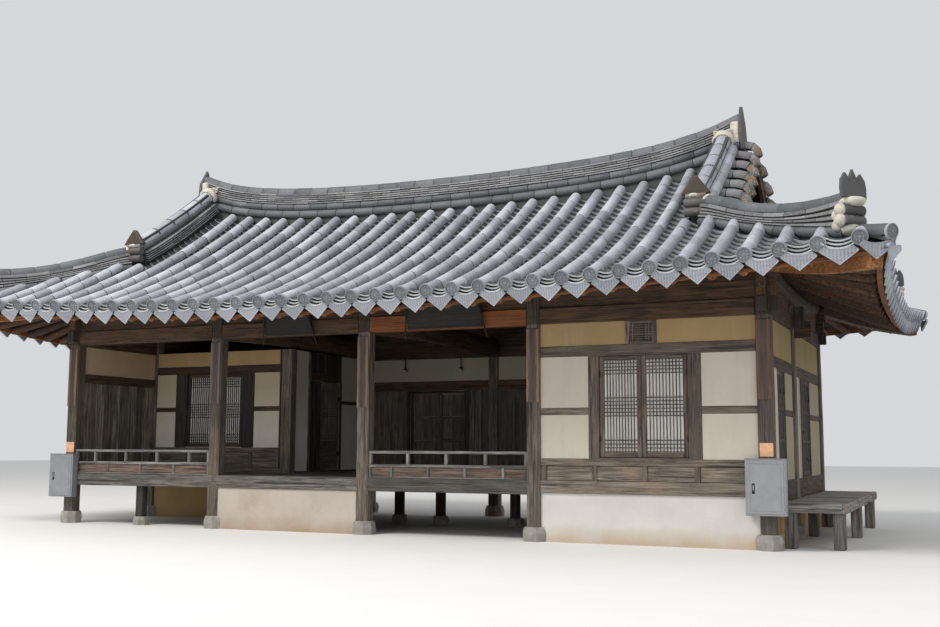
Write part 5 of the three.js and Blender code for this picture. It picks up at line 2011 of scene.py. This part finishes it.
def bench():
    """A heavy plank bench along the right side."""
    low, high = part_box("side_bench")
    # The bench takes the pale rail timber, partly as painted light where it sits in shade
    piece = Piece("side_bench_boards", *TIMBERS[:2], RAIL_Z, *TIMBERS[3:], RAIL_X, LIT_BENCH_Y)
    x, y, top = (low[0], high[0]), (low[1], high[1]), high[2]
    inner_x, inner_y = shrunk(x, BENCH_EDGE), shrunk(y, BENCH_EDGE)
    for span in both_ends(x, BENCH_EDGE):
        piece.beam(span, y, (top - 0.11, top), bevel=0.008, slot=GREY_Y_SLOT)
    for span in both_ends(y, BENCH_EDGE):
        piece.beam(inner_x, span, (top - 0.11, top - 0.003), bevel=0.008, slot=GREY_SLOT)
    for start, end in loose_boards(inner_y, 0.24, (0.85, 1.2), 0.1):
        level = top - rng.uniform(0.001, 0.006)
        board = (start + 0.002, end - 0.002)
        piece.beam(inner_x, board, (level - 0.045, level), bevel=0.004, slot=GREY_SLOT)
    inset = BENCH_LEG / 2 + 0.03
    for leg_x, leg_y in product(shrunk(x, inset), evenly(*shrunk(y, inset), 2)):
        leg = (around(leg_x, BENCH_LEG), around(leg_y, BENCH_LEG), (0.0, top - 0.03))
        piece.beam(*leg, bevel=0.012, slot=OLD_Z_SLOT)
    return piece.make(slot="timber", replaces=["side_bench"])


# Boards, boxes and ironwork on the front


def couplet_boards():
    """Bare painted boards on the upper halves of the front columns, worn at their edges."""
    depth = (FRONT_FACE - 0.017, FRONT_FACE + 0.002)
    boards = zip(COLUMN_X, COUPLET_BOTTOMS, COUPLET_EDGES, PAINT_REACH)
    for i, (x, low, edge, reach) in enumerate(boards, 1):
        piece = Piece(f"column_board_{i}", worn_board(f"worn_board_{i}", x, edge, reach))
        piece.beam(around(x, 0.158), depth, (low, COUPLET_TOP), bevel=0.004, tone=0.5)
        piece.make(slot="dark_timber")


def number_plates():
    """Small bare painted plates above the metal boxes."""
    piece = Piece("column_plates", PLATE_PAINT)
    depth = (FRONT_FACE - 0.005, FRONT_FACE + 0.001)
    for x in (COLUMN_X[0], COLUMN_X[4]):
        piece.beam(around(x + 0.005, 0.148), depth, (1.022, 1.172), bevel=0.003, tone=0.5)
    return piece.make(slot="grey_metal")


def metal_box(node):
    """A sheet metal box with an inset door, embossed edge, hinges and a handle slot."""
    (left, front, low), (right, back, high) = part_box(node)
    piece = Piece(f"{node}_door", BOX_METAL, IRON)
    piece.beam((left, right), (front + 0.012, back), (low, high), bevel=0.006, tone=0.5)
    door_x, door_z = shrunk((left, right), 0.022), shrunk((low, high), 0.022)
    piece.beam(door_x, (front + 0.004, front + 0.014), door_z, bevel=0.004, tone=0.45)
    field_x, field_z = shrunk(door_x, 0.032), shrunk(door_z, 0.032)
    emboss = (front + 0.0005, front + 0.006)
    for x in field_x:
        piece.beam(around(x, 0.006), emboss, field_z, bevel=0.002, tone=0.4)
    for z in field_z:
        piece.beam(field_x, emboss, around(z, 0.006), bevel=0.002, tone=0.4)
    handle = door_x[0] + 0.068
    middle = (low + high) / 2 - 0.015
    slot = (front + 0.0015, front + 0.006)
    piece.beam(around(handle, 0.034), slot, around(middle, 0.115), bevel=0.004, tone=0.5, slot=1)
    knob = (front - 0.0005, front + 0.004)
    piece.beam(around(handle, 0.014), knob, around(middle + 0.01, 0.06), bevel=0.002, tone=0.2)
    for z in (low + 0.10, high - 0.10):
        ends = [(door_x[1], front + 0.008, end) for end in around(z, 0.05)]
        round_bar(piece, *ends, 0.005)
    roof = (left - 0.004, right + 0.004)
    piece.beam(roof, (front + 0.006, back), (high - 0.004, high + 0.003), bevel=0.002, tone=0.6)
    return piece.make(slot="grey_metal", replaces=[node])


def name_board(node):
    """A bare black board leaning from the lintel, with a thin frame and iron rods."""
    low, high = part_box(node)
    piece = Piece(f"{node}_panel", BOARD_BLACK, IRON)
    tilt = Matrix.Rotation(SIGN_TILT, 3, "X")
    half = (high[0] - low[0]) / 2
    height = 0.28 if half < 0.45 else 0.33
    foot = Vector(((low[0] + high[0]) / 2, FRONT_Y - 0.0913, BEAM_BOTTOM + 0.01))

    def part(x, y, z):
        start = len(piece.points)
        piece.beam(x, y, z, 0.003, turn=tilt)
        piece.points[start:] = [p + foot for p in piece.points[start:]]

    def on_board(x, y, z):
        return foot + tilt @ Vector((x, y, z))

    part((-half, half), (-0.024, 0.0), (0.0, height))
    for z in both_ends((0.0, height), SIGN_FRAME):
        part((-half, half), (-0.030, -0.02), z)
    for x in both_ends((-half, half), SIGN_FRAME):
        part(x, (-0.030, -0.02), (0.0, height))
    for side in (-1, 1):
        top = Vector((foot.x + side * (half - 0.03), FRONT_Y - 0.08, BEAM_BOTTOM + 0.42))
        round_bar(piece, top, on_board(side * (half - 0.03), -0.03, height * 0.9), 0.006, slot=1)
        upper = on_board(side * (half - 0.02), -0.036, height * 0.85)
        round_bar(piece, upper, on_board(side * (half + 0.055), -0.040, -0.13), 0.009, slot=1)
    return piece.make(slot="dark_timber", replaces=[node])


def lifting_hooks():
    """Iron hooks that hang from the rear lintel to hold raised doors."""
    piece = Piece("lifting_hooks", IRON)
    y = REAR_Y - LINTEL / 2 - 0.02
    for x in HOOK_PLACES:
        round_bar(piece, (x, y, BEAM_BOTTOM + 0.04), (x, y, HOOK_FOOT), 0.009)
        round_bar(piece, (x - 0.03, y, HOOK_FOOT), (x + 0.03, y, HOOK_FOOT), 0.012)
        round_bar(piece, (x + 0.025, y, HOOK_FOOT), (x + 0.025, y, HOOK_FOOT - 0.05), 0.011)
    return piece.make(slot="grey_metal")


# Gables


def gable_strip(piece, side, depth, y):
    """One upright board between the side slope and the verge."""
    levels = []
    for place in y:
        low = side_slope(GABLE_X, place) - 0.12
        levels.append((low, max(main_slope(GABLE_X, place) - 0.16, low + 0.01)))
    if max(top - low for low, top in levels) < 0.03:
        return
    points = []
    for out in depth:
        for place, level in zip(y, levels):
            points.extend(Vector((side * out, place, z)) for z in level)
    faces = [(0, 1, 3, 2), (4, 6, 7, 5), (0, 2, 6, 4), (1, 5, 7, 3), (0, 4, 5, 1), (2, 3, 7, 6)]
    piece.add(points, faces)


def gables():
    """Upright weather boards with battens over their joints."""
    board, batten = (GABLE_X - 0.02, GABLE_X + 0.022), (GABLE_X + 0.02, GABLE_X + 0.042)
    for side, node in ((-1, "gable_left"), (1, "gable_right")):
        piece = Piece(f"{node}_boards", DARK_Z)
        for k in GABLE_BOARDS:
            y = shrunk((k * GABLE_PITCH, (k + 1) * GABLE_PITCH), 0.002)
            gable_strip(piece, side, board, y)
            gable_strip(piece, side, batten, around(k * GABLE_PITCH, GABLE_BATTEN))
        gable_strip(piece, side, batten, around(GABLE_BOARDS.stop * GABLE_PITCH, GABLE_BATTEN))
        piece.make(slot="dark_timber", replaces=[node])


def finish_walls():
    """Plaster and clay for the walls that stay in view as they are."""
    for look, nodes in WALL_LOOKS:
        for node in nodes:
            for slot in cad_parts[node].material_slots:
                slot.material = look


make_stage()
all_roof_tiles()
roof_lining()
eave_boards()
rafters()
verge_boards()
columns()
for end in (-1, 1):
    long_side_beams(end)
    short_side_beams(end)
outer_rafter_plaster()
hall_beams()
room_2_front()
room_1_front()
end_walls()
rear_walls()
veranda_end()
hall_walls()
doors()
floors()
railing("veranda_railing", 0, RAIL_OFFSETS, RAIL_QUARTERS)
railing("hall_railing", 2, RAIL_QUARTERS, RAIL_OFFSETS)
bench()
couplet_boards()
number_plates()
for end in ("left", "right"):
    metal_box(f"metal_box_{end}")
for end in ("left", "right"):
    name_board(f"name_board_{end}")
lifting_hooks()
gables()
finish_walls()
